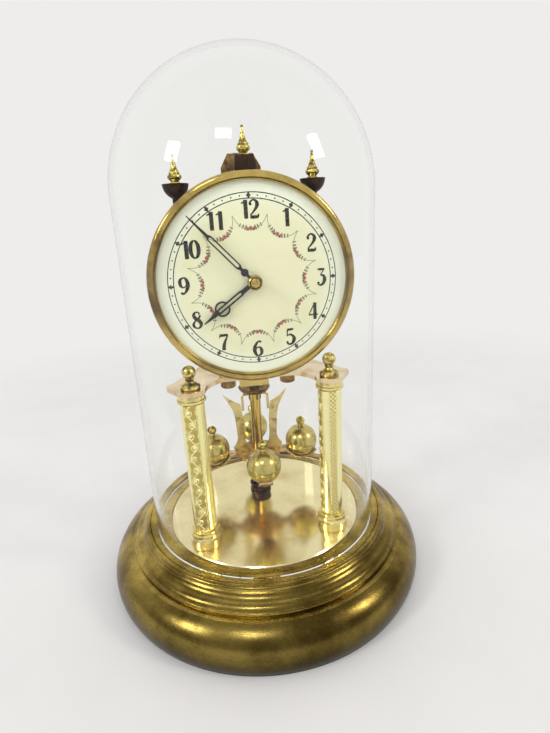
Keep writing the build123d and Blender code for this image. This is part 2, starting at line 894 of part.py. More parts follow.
# Finials: one on the crest block and one on each half-round cup
finial_foot_radius = 2.7
finial_shares = [
    (1, 0),
    (1, 0.05),
    (0.72, 0.09),
    (1, 0.14, 0.1),
    (1.34, 0.23, 0.14),
    (1, 0.33, 0.16),
    (0.82, 0.35),
    (1.06, 0.37, 0.3),
    (0.82, 0.4, 0.3),
    (0.78, 0.46),
    (0.4, 0.7, -0.05),
    (0.2, 0.9, -0.03),
]
finial_ball_radius = 0.75
finial_ball_neck_share = 0.7
cup_half_round = 6.8
cup_lip = 0.5
cup_neck_radius = 2.2
cup_band_share = 0.98
cup_bowl_bulge_share = 0.13


def finial(x, bottom):
    lathe(
        [(0, bottom)]
        + scaled(finial_shares, finial_foot_radius, finial_height, bottom)
        + ball_end(finial_ball_radius, finial_ball_neck_share, bottom + finial_height),
        x,
        -finial_forward,
    )


with BuildPart() as centre_finial:
    finial(0, centre_finial_height)
save(centre_finial, "centre_finial")

with BuildPart() as side_finials:
    for side in (-1, 1):
        finial(side * side_finial_spread, side_finial_height)
save(side_finials, "side_finials")

with BuildPart() as finial_cups:
    for side in (-1, 1):
        lip_bottom = side_finial_height - cup_lip
        bowl_depth = sqrt(cup_half_round**2 - cup_neck_radius**2)
        lathe(
            [
                (0, corner_seat_height),
                (cup_neck_radius, corner_seat_height),
                (cup_neck_radius, lip_bottom - bowl_depth),
                (cup_half_round * cup_band_share, lip_bottom, cup_bowl_bulge_share),
                (cup_half_round, lip_bottom),
                (cup_half_round, side_finial_height),
                (0, side_finial_height),
            ],
            side * side_finial_spread,
            -finial_forward,
        )
save(finial_cups, "finial_cups")

# Crest block over the middle of the front plate, narrowing to the foot of the centre finial
crest_half_width = 6.3
crest_half_depth = 5.0
crest_plinth_height = 1.2
crest_plinth_step = 0.4
crest_taper_angle = 6.0

with BuildPart() as crest_block:
    with BuildSketch(Plane.XY.offset(arch_top_height)) as crest_plinth:
        with Locations((0, -finial_forward)):
            Rectangle(2 * crest_half_width, 2 * crest_half_depth)
    extrude(crest_plinth.sketch, amount=crest_plinth_height)
    with BuildSketch(Plane.XY.offset(arch_top_height + crest_plinth_height)) as crest_body:
        with Locations((0, -finial_forward)):
            Rectangle(
                2 * (crest_half_width - crest_plinth_step), 2 * (crest_half_depth - crest_plinth_step)
            )
    extrude(crest_body.sketch, amount=crest_height - crest_plinth_height, taper=crest_taper_angle)
    rod(finial_stem_radius, top_seat_height, centre_finial_height, 0, -finial_forward)
save(crest_block, "crest_block")

# Suspension bracket behind the back plate, with an arm that carries the saddle over the pendulum
bracket_foot_drop = 4.5
bracket_half_foot = 11.0
bracket_knee_rise = 8.0
bracket_half_top = 7.0
bracket_top_rise = 7.0
bracket_arch_half = 4.2
bracket_arch_rise = 0.5
bracket_arch_share = -0.5
bracket_arm_overhang = 4.35
bracket_arm_half_end = 4.0
saddle_width = 4.4
saddle_depth = 2.4
saddle_drop = 4.0
saddle_head_width = 6.4
saddle_head_depth = 4.4
saddle_head_height = 1.3
spring_width = 1.6
spring_thickness = 0.3

bracket_foot_height = bracket_screw_height - bracket_foot_drop
bracket_arch_height = arch_top_height + bracket_arch_rise
bracket_knee_height = arch_top_height + bracket_knee_rise
bracket_top = bracket_knee_height + bracket_top_rise
bracket_arm_end = suspension_back + bracket_arm_overhang
arm_bottom = bracket_top - bracket_thickness
saddle_bottom = arm_bottom - saddle_drop
bracket_back = back_plate_back + bracket_thickness

with BuildPart() as suspension_bracket:
    with BuildSketch(front_plane(bracket_back)) as bracket_outline:
        with BuildLine():
            draw(
                [
                    (-bracket_half_foot, bracket_foot_height),
                    (-bracket_arch_half, bracket_foot_height),
                    (-bracket_arch_half, bracket_arch_height),
                    (bracket_arch_half, bracket_arch_height, bracket_arch_share),
                    (bracket_arch_half, bracket_foot_height),
                    (bracket_half_foot, bracket_foot_height),
                    (bracket_half_foot, bracket_knee_height),
                    (bracket_half_top, bracket_top),
                    (-bracket_half_top, bracket_top),
                    (-bracket_half_foot, bracket_knee_height),
                ]
            )
        make_face()
        with Locations(*bracket_screw_places):
            Circle(plate_screw_radius + shaft_clearance, mode=Mode.SUBTRACT)
    extrude(bracket_outline.sketch, amount=bracket_thickness)
    with BuildSketch(Plane.XY.offset(arm_bottom)) as arm_outline:
        with BuildLine():
            draw(
                [
                    (-bracket_half_top, bracket_back - bracket_thickness / 2),
                    (bracket_half_top, bracket_back - bracket_thickness / 2),
                    (bracket_half_top, bracket_back),
                    (bracket_arm_half_end, bracket_arm_end),
                    (-bracket_arm_half_end, bracket_arm_end),
                    (-bracket_half_top, bracket_back),
                ]
            )
        make_face()
        with Locations((0, suspension_back)):
            Rectangle(
                saddle_width + 2 * shaft_clearance,
                saddle_depth + 2 * shaft_clearance,
                mode=Mode.SUBTRACT,
            )
    extrude(arm_outline.sketch, amount=bracket_thickness)
save(suspension_bracket, "suspension_bracket")

# Saddle through the arm, from which the suspension spring hangs
with BuildPart() as suspension_saddle:
    with BuildSketch(Plane.XY.offset(saddle_bottom)) as saddle_body:
        with Locations((0, suspension_back)):
            Rectangle(saddle_width, saddle_depth)
    extrude(saddle_body.sketch, amount=bracket_top - saddle_bottom)
    with BuildSketch(Plane.XY.offset(bracket_top)) as saddle_head:
        with Locations((0, suspension_back)):
            Rectangle(saddle_head_width, saddle_head_depth)
    extrude(saddle_head.sketch, amount=saddle_head_height)
save(suspension_saddle, "suspension_saddle")

# Suspension spring: a flat strip from the saddle down to the block of the pendulum
dish_drop = 19.5
spring_foot_lift = 4.0

dish_bottom = platform_underside - dish_drop
spring_foot_height = dish_bottom + spring_foot_lift

with BuildPart() as suspension_spring:
    with BuildSketch(Plane.XY.offset(spring_foot_height)) as strip:
        with Locations((0, suspension_back)):
            Rectangle(spring_width, spring_thickness)
    extrude(strip.sketch, amount=saddle_bottom - spring_foot_height)
save(suspension_spring, "suspension_spring")

# Block that clamps the foot of the spring, slotted round the strip
foot_block_width = 6.0
foot_block_depth = 3.0
foot_block_height = 7.0
dish_wall = 1.0

foot_block_bottom = dish_bottom + dish_wall

with BuildPart() as suspension_block:
    with BuildSketch(Plane.XY.offset(foot_block_bottom)) as block_outline:
        with Locations((0, suspension_back)):
            Rectangle(foot_block_width, foot_block_depth)
    extrude(block_outline.sketch, amount=foot_block_height)
    slot_bottom = spring_foot_height - running_gap
    with BuildSketch(Plane.XY.offset(slot_bottom)) as block_slot:
        with Locations((0, suspension_back)):
            Rectangle(spring_width + 2 * running_gap, spring_thickness + 2 * running_gap)
    slot_height = foot_block_bottom + foot_block_height - slot_bottom
    extrude(block_slot.sketch, amount=slot_height, mode=Mode.SUBTRACT)
save(suspension_block, "suspension_block")

# Pendulum dish, a shallow turned cup on top of the pendulum
dish_radius = 10.4
dish_height = 3.3
dish_round_share = 0.2
dish_floor_share = 0.55

with BuildPart() as pendulum_dish:
    dish_floor_radius = dish_radius * dish_floor_share
    lathe(
        [
            (0, dish_bottom),
            (dish_floor_radius, dish_bottom),
            (dish_radius, dish_bottom + dish_height, dish_round_share),
            (dish_radius - dish_wall, dish_bottom + dish_height),
            (dish_floor_radius, dish_bottom + dish_wall, -dish_round_share),
            (0, dish_bottom + dish_wall),
        ],
        0,
        suspension_back,
    )
save(pendulum_dish, "pendulum_dish")

# Pendulum column with its collar at the top and the guide pin that hangs in the cup
pendulum_column_radius = 3.55
pendulum_collar_radius = 4.2
pendulum_collar_height = 5.0
guide_pin_radius = 1.6
guide_pin_lift = 3.0
carrier_lift = 28.5
carrier_thickness = 1.5
pendulum_nut_radius = 3.2
pendulum_nut_height = 2.6
bail_wire_radius = 0.8
bail_drop = 1.9

guide_pin_bottom = ridge_top + guide_pin_lift
carrier_bottom = ridge_top + carrier_lift
carrier_top = carrier_bottom + carrier_thickness
bail_height = dish_bottom - bail_drop

with BuildPart() as pendulum_column:
    lathe(
        [
            (0, guide_pin_bottom),
            (guide_pin_radius, guide_pin_bottom),
            (guide_pin_radius, carrier_bottom - pendulum_nut_height),
            (pendulum_nut_radius, carrier_bottom - pendulum_nut_height),
            (pendulum_nut_radius, carrier_bottom),
            (guide_pin_radius, carrier_bottom),
            (guide_pin_radius, carrier_top),
            (pendulum_column_radius, carrier_top),
            (pendulum_column_radius, dish_bottom - pendulum_collar_height),
            (pendulum_collar_radius, dish_bottom - pendulum_collar_height),
            (pendulum_collar_radius, dish_bottom),
            (0, dish_bottom),
        ],
        0,
        suspension_back,
    )
    with BuildSketch(Plane.YZ) as bore:
        with Locations((suspension_back, bail_height)):
            Circle(bail_wire_radius + shaft_clearance)
    extrude(bore.sketch, amount=pendulum_collar_radius + overrun, both=True, mode=Mode.SUBTRACT)
save(pendulum_column, "pendulum_column")

# Leaf arms that spread beside the column, one outline mirrored
leaf_thickness = 1.5
leaf_spread = 21.0
leaf_top_drop = 0.3
leaf_shares = [
    (0.233, 0),
    (0.705, 0),
    (0.795, 0.094),
    (0.638, 0.304, -0.12),
    (0.66, 0.501),
    (0.748, 0.756, -0.04),
    (1, 1),
    (0.471, 0.813, -0.06),
    (0.405, 0.304, 0.02),
    (0.314, 0.094, -0.06),
]

leaf_height = dish_bottom - carrier_top - leaf_top_drop


def leaf_arm():
    with BuildSketch(front_plane(suspension_back + leaf_thickness / 2)) as leaf:
        with BuildLine():
            draw(scaled(leaf_shares, leaf_spread, leaf_height, carrier_top))
        make_face()
    extrude(leaf.sketch, amount=leaf_thickness)


with BuildPart() as leaf_arm_right:
    leaf_arm()
save(leaf_arm_right, "leaf_arm_right")

with BuildPart() as leaf_arm_left:
    leaf_arm()
    mirror(about=Plane.YZ, mode=Mode.REPLACE)
save(leaf_arm_left, "leaf_arm_left")

# Bail: a wire bow through the collar whose legs hang beside the inner edges of the leaves
bail_span_share = 0.4
bail_leg_share = 0.2576
bail_bend = 1.8

bail_half_span = leaf_spread * bail_span_share
bail_leg = leaf_height * bail_leg_share

with BuildPart() as pendulum_bail:
    with BuildLine(front_plane(suspension_back)) as bail_path:
        FilletPolyline(
            (-bail_half_span, bail_height - bail_leg),
            (-bail_half_span, bail_height),
            (bail_half_span, bail_height),
            (bail_half_span, bail_height - bail_leg),
            radius=bail_bend,
        )
    with BuildSketch(Plane.XY.offset(bail_height - bail_leg)):
        with Locations((-bail_half_span, suspension_back)):
            Circle(bail_wire_radius)
    sweep(path=bail_path.line)
save(pendulum_bail, "pendulum_bail")

# Carrier: a hub disc with four cradles that curve under the balls
carrier_hub_radius = 15.0
cradle_root_share = 0.8
cradle_width = 8.0
cradle_end_angle = -36.0
ball_stud_radius = 1.5
ball_gap = 2.655
ball_rise = 5.8
leaf_foot_share = leaf_shares[2][0]

ball_circle_radius = leaf_spread * leaf_foot_share + ball_gap + ball_radius
ball_height = carrier_bottom + ball_rise
cradle_root = carrier_hub_radius * cradle_root_share
cradle_inner = ball_radius + shaft_clearance
cradle_outer = cradle_inner + carrier_thickness
ball_bearings = [-90, 0, 90, 180]
ball_places = [
    (ball_circle_radius * cos(radians(turn)), suspension_back + ball_circle_radius * sin(radians(turn)))
    for turn in ball_bearings
]


def on_cradle(radius, bearing):
    return (
        ball_circle_radius + radius * cos(radians(bearing)),
        ball_height + radius * sin(radians(bearing)),
    )


def cradle_start(radius, height):
    return (ball_circle_radius - sqrt(radius**2 - (ball_height - height) ** 2), height)


with BuildPart() as pendulum_carrier:
    with BuildSketch(Plane.XY.offset(carrier_bottom)) as hub_disc:
        with Locations((0, suspension_back)):
            Circle(carrier_hub_radius)
            Circle(guide_pin_radius + shaft_clearance, mode=Mode.SUBTRACT)
    extrude(hub_disc.sketch, amount=carrier_thickness)
    for turn, place in zip(ball_bearings, ball_places):
        with BuildSketch(upright_plane(0, suspension_back, turn)) as cradle:
            with BuildLine():
                Line((cradle_root, carrier_bottom), cradle_start(cradle_outer, carrier_bottom))
                ThreePointArc(
                    cradle_start(cradle_outer, carrier_bottom),
                    on_cradle(cradle_outer, -90),
                    on_cradle(cradle_outer, cradle_end_angle),
                )
                Line(
                    on_cradle(cradle_outer, cradle_end_angle),
                    on_cradle(cradle_inner, cradle_end_angle),
                )
                ThreePointArc(
                    on_cradle(cradle_inner, cradle_end_angle),
                    on_cradle(cradle_inner, -90),
                    cradle_start(cradle_inner, carrier_top),
                )
                Polyline(
                    cradle_start(cradle_inner, carrier_top),
                    (cradle_root, carrier_top),
                    (cradle_root, carrier_bottom),
                )
            make_face()
        extrude(cradle.sketch, amount=cradle_width / 2, both=True)
        rod(
            ball_stud_radius + shaft_clearance,
            ball_height - cradle_outer - overrun,
            ball_height,
            *place,
            mode=Mode.SUBTRACT,
        )
save(pendulum_carrier, "pendulum_carrier")

# Four balls, each with a shallow groove under its middle and a hole for its stud
ball_groove_drop = 2.6
ball_groove_width = 1.2
ball_groove_depth = 0.35


def ball(place):
    with Locations((place[0], place[1], ball_height)):
        Sphere(ball_radius)
    groove_middle = ball_height - ball_groove_drop
    groove_floor = sqrt(ball_radius**2 - ball_groove_drop**2) - ball_groove_depth
    lathe(
        [
            (groove_floor, groove_middle - ball_groove_width / 2),
            (ball_radius + overrun, groove_middle - ball_groove_width / 2),
            (ball_radius + overrun, groove_middle + ball_groove_width / 2),
            (groove_floor, groove_middle + ball_groove_width / 2),
        ],
        *place,
        mode=Mode.SUBTRACT,
    )
    rod(
        ball_stud_radius + shaft_clearance,
        ball_height - ball_radius - overrun,
        ball_height + ball_radius + overrun,
        *place,
        mode=Mode.SUBTRACT,
    )


with BuildPart() as pendulum_ball_front:
    ball(ball_places[0])
save(pendulum_ball_front, "pendulum_ball_front")

with BuildPart() as pendulum_ball_right:
    ball(ball_places[1])
save(pendulum_ball_right, "pendulum_ball_right")

with BuildPart() as pendulum_ball_back:
    ball(ball_places[2])
save(pendulum_ball_back, "pendulum_ball_back")

with BuildPart() as pendulum_ball_left:
    ball(ball_places[3])
save(pendulum_ball_left, "pendulum_ball_left")

# Studs through the balls, with a nut under the cradle and a knob on top
knob_radius = 3.0
knob_neck_share = 0.62
stud_nut_radius = 2.5
stud_nut_height = 1.2
knob_rise = 6.35

knob_top = ball_height + ball_radius + knob_rise
cradle_underside = ball_height - cradle_outer
ball_top = ball_height + sqrt(ball_radius**2 - (ball_stud_radius + shaft_clearance) ** 2)

with BuildPart() as ball_studs:
    for place in ball_places:
        lathe(
            [
                (0, cradle_underside - stud_nut_height),
                (stud_nut_radius, cradle_underside - stud_nut_height),
                (stud_nut_radius, cradle_underside),
                (ball_stud_radius, cradle_underside),
                (ball_stud_radius, ball_top),
                (knob_neck_share * knob_radius, ball_top),
            ]
            + ball_end(knob_radius, knob_neck_share, knob_top),
            *place,
        )
save(ball_studs, "ball_studs")

# One arbor between the plates, with a pivot in each
def arbor(place):
    rod_along_y(arbor_radius, front_plate_front + running_gap, back_plate_back - running_gap, *place)
    rod_along_y(arbor_body_radius, front_plate_back + running_gap, back_plate_front - running_gap, *place)


# Escapement: anchor with its pin, and the fork on the spring that the pin moves
anchor_place_share = 0.78
anchor_thickness = 1.7
anchor_hub_radius = 1.9
anchor_pin_radius = 0.4
anchor_pin_drop = 6.5
anchor_pin_stand = 3.45
anchor_collet_radius = 1.4
anchor_collet_half = 0.65
anchor_shares = [
    (0, -0.165),
    (0.5, -0.32, -0.05),
    (0.76, -0.64, 0.05),
    (1, -0.73),
    (1.1, -0.47),
    (0.75, -0.06, 0.08),
    (0, 0.2, 0.08),
]
anchor_reach = 8.7
fork_drop = 3.0
fork_height = 2.0
fork_half_width = 2.2
fork_back_half = 1.6
fork_prong_reach = 1.25
fork_prong_width = 0.9

anchor_front = front_plate_back + plate_gap * anchor_place_share
anchor_pin_top = bracket_top - anchor_pin_drop
anchor_pin_back = back_plate_back + anchor_pin_stand
fork_bottom = anchor_pin_top - fork_drop
fork_prong_front = anchor_pin_back - fork_prong_reach

with BuildPart() as anchor:
    with BuildSketch(front_plane(anchor_front + anchor_thickness)) as anchor_outline:
        with BuildLine():
            draw(scaled(anchor_shares, anchor_reach, anchor_reach, anchor_axis[1]))
        make_face()
        mirror(about=Plane.YZ)
        with Locations(anchor_axis):
            Circle(anchor_hub_radius)
    extrude(anchor_outline.sketch, amount=anchor_thickness)
    arbor(anchor_axis)
    collet_front = anchor_pin_back - anchor_collet_half
    collet_back = anchor_pin_back + anchor_collet_half
    rod_along_y(arbor_radius, front_plate_back, collet_back, *anchor_axis)
    rod_along_y(anchor_collet_radius, collet_front, collet_back, *anchor_axis)
    rod(anchor_pin_radius, anchor_axis[1], anchor_pin_top, 0, anchor_pin_back)
save(anchor, "anchor")

with BuildPart() as suspension_fork:
    prong_inner = anchor_pin_radius + running_gap
    prong_outer = prong_inner + fork_prong_width
    fork_front = suspension_back - fork_back_half
    with BuildSketch(Plane.XY.offset(fork_bottom)) as fork_outline:
        with Locations((0, suspension_back)):
            Rectangle(2 * fork_half_width, 2 * fork_back_half)
            Rectangle(spring_width + 2 * running_gap, spring_thickness + 2 * running_gap, mode=Mode.SUBTRACT)
        with BuildLine():
            Polyline(
                (prong_inner, fork_front),
                (prong_inner, fork_prong_front),
                (prong_outer, fork_prong_front),
                (prong_outer, fork_front),
                (prong_inner, fork_front),
            )
        make_face()
        with BuildLine():
            Polyline(
                (-prong_inner, fork_front),
                (-prong_inner, fork_prong_front),
                (-prong_outer, fork_prong_front),
                (-prong_outer, fork_front),
                (-prong_inner, fork_front),
            )
        make_face()
    extrude(fork_outline.sketch, amount=fork_height)
save(suspension_fork, "suspension_fork")

# Toothed wheels: trapezoid teeth whose widths are shares of the pitch
addendum_share = 0.75
dedendum_share = 1.1
tooth_root_share = 0.56
tooth_tip_share = 0.24


def tooth_ring(teeth, module, phase, place):
    pitch_turn = 360 / teeth
    root_radius = pitch_radius(teeth, module) - dedendum_share * module
    tip_radius = pitch_radius(teeth, module) + addendum_share * module
    corners = []
    for tooth in range(teeth):
        for radius, side in (
            (root_radius, -tooth_root_share),
            (tip_radius, -tooth_tip_share),
            (tip_radius, tooth_tip_share),
            (root_radius, tooth_root_share),
        ):
            corners.append(around(place, radius, phase + (tooth + side / 2) * pitch_turn))
    Polyline(*corners, close=True)


def wheel(teeth, module, phase, place, front, thickness, spokes=0, rim=0, spoke_width=0, hub_radius=0):
    with BuildSketch(front_plane(front + thickness)) as blank:
        with BuildLine():
            tooth_ring(teeth, module, phase, place)
        make_face()
        if spokes:
            inner_radius = pitch_radius(teeth, module) - dedendum_share * module - rim
            with Locations(place):
                Circle(inner_radius, mode=Mode.SUBTRACT)
                for spoke in range(spokes):
                    Rectangle(
                        spoke_width,
                        inner_radius + rim / 2,
                        rotation=360 / spokes * spoke,
                        align=(Align.CENTER, Align.MIN),
                    )
                Circle(hub_radius)
    extrude(blank.sketch, amount=thickness)

# Barrel: a toothed drum with a cap and the mainspring coiled inside
drum_radius = 14.6
drum_wall = 0.8
drum_back_clearance = 6.6
barrel_gear_inset = 1.0
barrel_gear_thickness = 1.6
winding_core_radius = 3.4
mainspring_thickness = 0.6
mainspring_pitch = 1.6
mainspring_half_turns = 11

drum_front = front_plate_back + drum_wall
drum_back = back_plate_front - drum_back_clearance
drum_inner_radius = drum_radius - drum_wall
barrel_gear_front = drum_back - barrel_gear_inset - barrel_gear_thickness
winding_hole_radius = winding_pivot_radius + shaft_clearance

with BuildPart() as barrel:
    wheel(barrel_teeth, barrel_module, barrel_phase, barrel_axis, barrel_gear_front, barrel_gear_thickness)
    rod_along_y(drum_radius, drum_front, drum_back, *barrel_axis)
    drum_floor = drum_back - drum_wall
    rod_along_y(drum_inner_radius, drum_front - overrun, drum_floor, *barrel_axis, mode=Mode.SUBTRACT)
    rod_along_y(winding_hole_radius, drum_front, drum_back + overrun, *barrel_axis, mode=Mode.SUBTRACT)
save(barrel, "barrel")

with BuildPart() as barrel_cap:
    with BuildSketch(front_plane(drum_front + drum_wall)) as cap_outline:
        with Locations(barrel_axis):
            Circle(drum_inner_radius - shaft_clearance)
            Circle(winding_hole_radius, mode=Mode.SUBTRACT)
    extrude(cap_outline.sketch, amount=drum_wall)
save(barrel_cap, "barrel_cap")

spring_front = drum_front + drum_wall + running_gap
spring_back = drum_back - drum_wall - running_gap
coil_start_radius = winding_core_radius + running_gap + mainspring_thickness / 2


def coil_side(offset):
    # Half circles whose centres change sides; offset is from the middle of the strip
    runs = []
    for half_turn in range(mainspring_half_turns):
        side = -1 if half_turn % 2 else 1
        centre = mainspring_pitch / 2 * (half_turn % 2)
        radius = coil_start_radius + mainspring_pitch / 2 * half_turn + offset
        runs.append((side * radius + centre, side * radius, -side * radius + centre))
    return runs


with BuildPart() as mainspring:
    with BuildSketch(front_plane(spring_back)) as coil:
        with BuildLine():
            for offset in (-mainspring_thickness / 2, mainspring_thickness / 2):
                for start, height, end in coil_side(offset):
                    ThreePointArc(
                        (barrel_axis[0] + start, barrel_axis[1]),
                        (barrel_axis[0] + (start + end) / 2, barrel_axis[1] + height),
                        (barrel_axis[0] + end, barrel_axis[1]),
                    )
            for end in (0, -1):
                place = 2 if end else 0
                inner = coil_side(-mainspring_thickness / 2)[end][place]
                outer = coil_side(mainspring_thickness / 2)[end][place]
                Line((barrel_axis[0] + inner, barrel_axis[1]), (barrel_axis[0] + outer, barrel_axis[1]))
        make_face()
    extrude(coil.sketch, amount=spring_back - spring_front)
save(mainspring, "mainspring")

# Winding arbor with a square behind the back plate, and its ratchet wheel
ratchet_radius = 8.0
ratchet_tooth_depth = 0.9
ratchet_teeth = 24
ratchet_turn_share = 0.2
winding_square = 3.2
winding_square_length = 5.0

ratchet_front = back_plate_back + running_gap
ratchet_back = ratchet_front + click_thickness

with BuildPart() as winding_arbor:
    rod_along_y(winding_pivot_radius, front_plate_front + running_gap, ratchet_back, *barrel_axis)
    rod_along_y(winding_core_radius, spring_front, spring_back, *barrel_axis)
    with BuildSketch(front_plane(ratchet_back + winding_square_length)) as square:
        with Locations(barrel_axis):
            Rectangle(winding_square, winding_square)
    extrude(square.sketch, amount=winding_square_length)
save(winding_arbor, "winding_arbor")

with BuildPart() as ratchet_wheel:
    with BuildSketch(front_plane(ratchet_back)) as ratchet_outline:
        with BuildLine():
            corners = []
            for tooth in range(ratchet_teeth):
                ratchet_root = ratchet_radius - ratchet_tooth_depth
                for radius, turn in ((ratchet_root, 0), (ratchet_radius, ratchet_turn_share)):
                    corners.append(around(barrel_axis, radius, 360 / ratchet_teeth * (tooth + turn)))
            Polyline(*corners, close=True)
        make_face()
        with Locations(barrel_axis):
            Circle(winding_hole_radius, mode=Mode.SUBTRACT)
    extrude(ratchet_outline.sketch, amount=click_thickness)
save(ratchet_wheel, "ratchet_wheel")

# Click that holds the ratchet, and the leaf spring that presses it down
click_length = 16.4
click_round = 2.2
click_shares = [
    (0, -0.134),
    (0.37, -0.05),
    (0.7, 0.015, 0.06),
    (0.93, -0.095, 0.05),
    (1, 0.0),
    (0.96, 0.122, 0.1),
    (0, 0.134),
]
click_spring_reach = 9.6
click_spring_thickness = 0.4
click_spring_bulge_share = -0.08

click_spring_tip_height = click_pivot[1] + click_round + running_gap

with BuildPart() as click:
    with BuildSketch(front_plane(click_back)) as click_outline:
        with BuildLine():
            draw(
                [
                    (click_pivot[0] + x * click_length, click_pivot[1] + z * click_length, *bulge)
                    for x, z, *bulge in click_shares
                ]
            )
        make_face()
        with Locations(click_pivot):
            Circle(click_round)
            Circle(click_stud_radius + shaft_clearance, mode=Mode.SUBTRACT)
    extrude(click_outline.sketch, amount=click_thickness)
save(click, "click")

with BuildPart() as click_spring:
    with BuildSketch(front_plane(click_back)) as leaf_spring:
        with BuildLine():
            draw(
                [
                    click_post,
                    (click_post[0] + click_spring_reach, click_spring_tip_height, click_spring_bulge_share),
                    (click_post[0] + click_spring_reach, click_spring_tip_height + click_spring_thickness),
                    (click_post[0], click_post[1] + click_spring_thickness, -click_spring_bulge_share),
                ]
            )
        make_face()
    extrude(leaf_spring.sketch, amount=click_thickness)
    rod_along_y(click_post_radius, back_plate_back, click_back, *click_post)
save(click_spring, "click_spring")

# Second wheel between the barrel and the centre arbor
wheel_thickness = 1.4
second_place_share = 0.78
second_pinion_length = 2.8
centre_pinion_share = 0.73
centre_pinion_length = 3.4
wheel_rim = 1.6
wheel_spoke_width = 1.4
wheel_hub_radius = 3.2
small_wheel_rim = 1.2
small_wheel_spoke_width = 1.1
small_wheel_hub_radius = 2.6
spoke_count = 4

pinion_overlap = (second_pinion_length - barrel_gear_thickness) / 2
second_wheel_front = front_plate_back + plate_gap * second_place_share
centre_pinion_front = front_plate_back + plate_gap * centre_pinion_share

with BuildPart() as second_wheel:
    wheel(
        second_teeth,
        second_module,
        second_phase,
        second_axis,
        second_wheel_front,
        wheel_thickness,
        spoke_count,
        wheel_rim,
        wheel_spoke_width,
        wheel_hub_radius,
    )
    wheel(
        second_pinion_leaves,
        barrel_module,
        second_pinion_phase,
        second_axis,
        barrel_gear_front - pinion_overlap,
        second_pinion_length,
    )
    arbor(second_axis)
save(second_wheel, "second_wheel")

# Centre arbor with its two pinions and the pipe for the minute hand
centre_place_share = 0.145
cannon_pipe_radius = 1.2
hand_thickness = 0.8
hand_stand = 1.2
hand_step = 2.2
nut_bore_depth = 1.4

centre_wheel_front = front_plate_back + plate_gap * centre_place_share
hour_hand_back = dial_front - hand_stand
minute_hand_back = hour_hand_back - hand_step
minute_wheel_back = front_plate_front - 2 * running_gap
minute_wheel_front = minute_wheel_back - motion_wheel_thickness
hour_wheel_back = minute_wheel_front - 2 * running_gap
hour_wheel_front = hour_wheel_back - motion_wheel_thickness
cannon_front = hour_wheel_back + running_gap
cannon_back = front_plate_front - running_gap
minute_hand_front = minute_hand_back - hand_thickness
cannon_pipe_end = minute_hand_front - nut_bore_depth + running_gap

with BuildPart() as centre_arbor:
    wheel(
        centre_pinion_leaves,
        second_module,
        centre_pinion_phase,
        hub,
        centre_pinion_front,
        centre_pinion_length,
    )
    wheel(cannon_leaves, cannon_module, cannon_phase, hub, cannon_front, cannon_back - cannon_front)
    rod_along_y(centre_arbor_radius, cannon_back, back_plate_back - running_gap, *hub)
    rod_along_y(cannon_pipe_radius, cannon_pipe_end, cannon_front, *hub)
save(centre_arbor, "centre_arbor")

with BuildPart() as centre_wheel:
    wheel(
        centre_teeth,
        centre_module,
        centre_phase,
        hub,
        centre_wheel_front,
        wheel_thickness,
        spoke_count,
        wheel_rim,
        wheel_spoke_width,
        wheel_hub_radius,
    )
    rod_along_y(wheel_hub_radius, centre_wheel_front, centre_wheel_front + 2 * wheel_thickness, *hub)
    rod_along_y(
        centre_arbor_radius + shaft_clearance,
        centre_wheel_front - overrun,
        centre_wheel_front + 2 * wheel_thickness + overrun,
        *hub,
        mode=Mode.SUBTRACT,
    )
save(centre_wheel, "centre_wheel")

# Third wheel and escape wheel, each on one arbor with its pinion
third_place_share = 0.37
small_wheel_thickness = 1.2
third_pinion_length = 2.8
escape_pinion_length = 2.8
escape_place_share = 0.795
escape_wheel_thickness = 1.1
escape_tooth_depth = 1.7
escape_rim = 1.1
escape_tooth_turn_shares = [0, 0.2, 0.27, 0.42]

third_wheel_front = front_plate_back + plate_gap * third_place_share
escape_wheel_front = front_plate_back + plate_gap * escape_place_share

with BuildPart() as third_wheel:
    wheel(
        third_teeth,
        third_module,
        third_phase,
        third_axis,
        third_wheel_front,
        small_wheel_thickness,
        spoke_count,
        small_wheel_rim,
        small_wheel_spoke_width,
        small_wheel_hub_radius,
    )
    wheel(
        third_pinion_leaves,
        centre_module,
        third_pinion_phase,
        third_axis,
        centre_wheel_front + (wheel_thickness - third_pinion_length) / 2,
        third_pinion_length,
    )
    arbor(third_axis)
save(third_wheel, "third_wheel")

with BuildPart() as escape_wheel:
    with BuildSketch(front_plane(escape_wheel_front + escape_wheel_thickness)) as escape_outline:
        with BuildLine():
            escape_root = escape_radius - escape_tooth_depth
            corners = []
            for tooth in range(escape_tooth_count):
                for radius, turn in zip(
                    (escape_root, escape_radius, escape_radius, escape_root), escape_tooth_turn_shares
                ):
                    corners.append(around(escape_axis, radius, 360 / escape_tooth_count * (tooth + turn)))
            Polyline(*corners, close=True)
        make_face()
        with Locations(escape_axis):
            Circle(escape_root - escape_rim, mode=Mode.SUBTRACT)
            for spoke in range(spoke_count):
                Rectangle(
                    small_wheel_spoke_width,
                    escape_root - escape_rim / 2,
                    rotation=360 / spoke_count * spoke,
                    align=(Align.CENTER, Align.MIN),
                )
            Circle(small_wheel_hub_radius)
    extrude(escape_outline.sketch, amount=escape_wheel_thickness)
    wheel(
        escape_pinion_leaves,
        third_module,
        escape_pinion_phase,
        escape_axis,
        third_wheel_front + (small_wheel_thickness - escape_pinion_length) / 2,
        escape_pinion_length,
    )
    arbor(escape_axis)
save(escape_wheel, "escape_wheel")

# Motion work behind the dial: minute wheel on its stud and hour wheel with its pipe
hour_pipe_radius = 1.9
hour_hand_front = hour_hand_back - hand_thickness

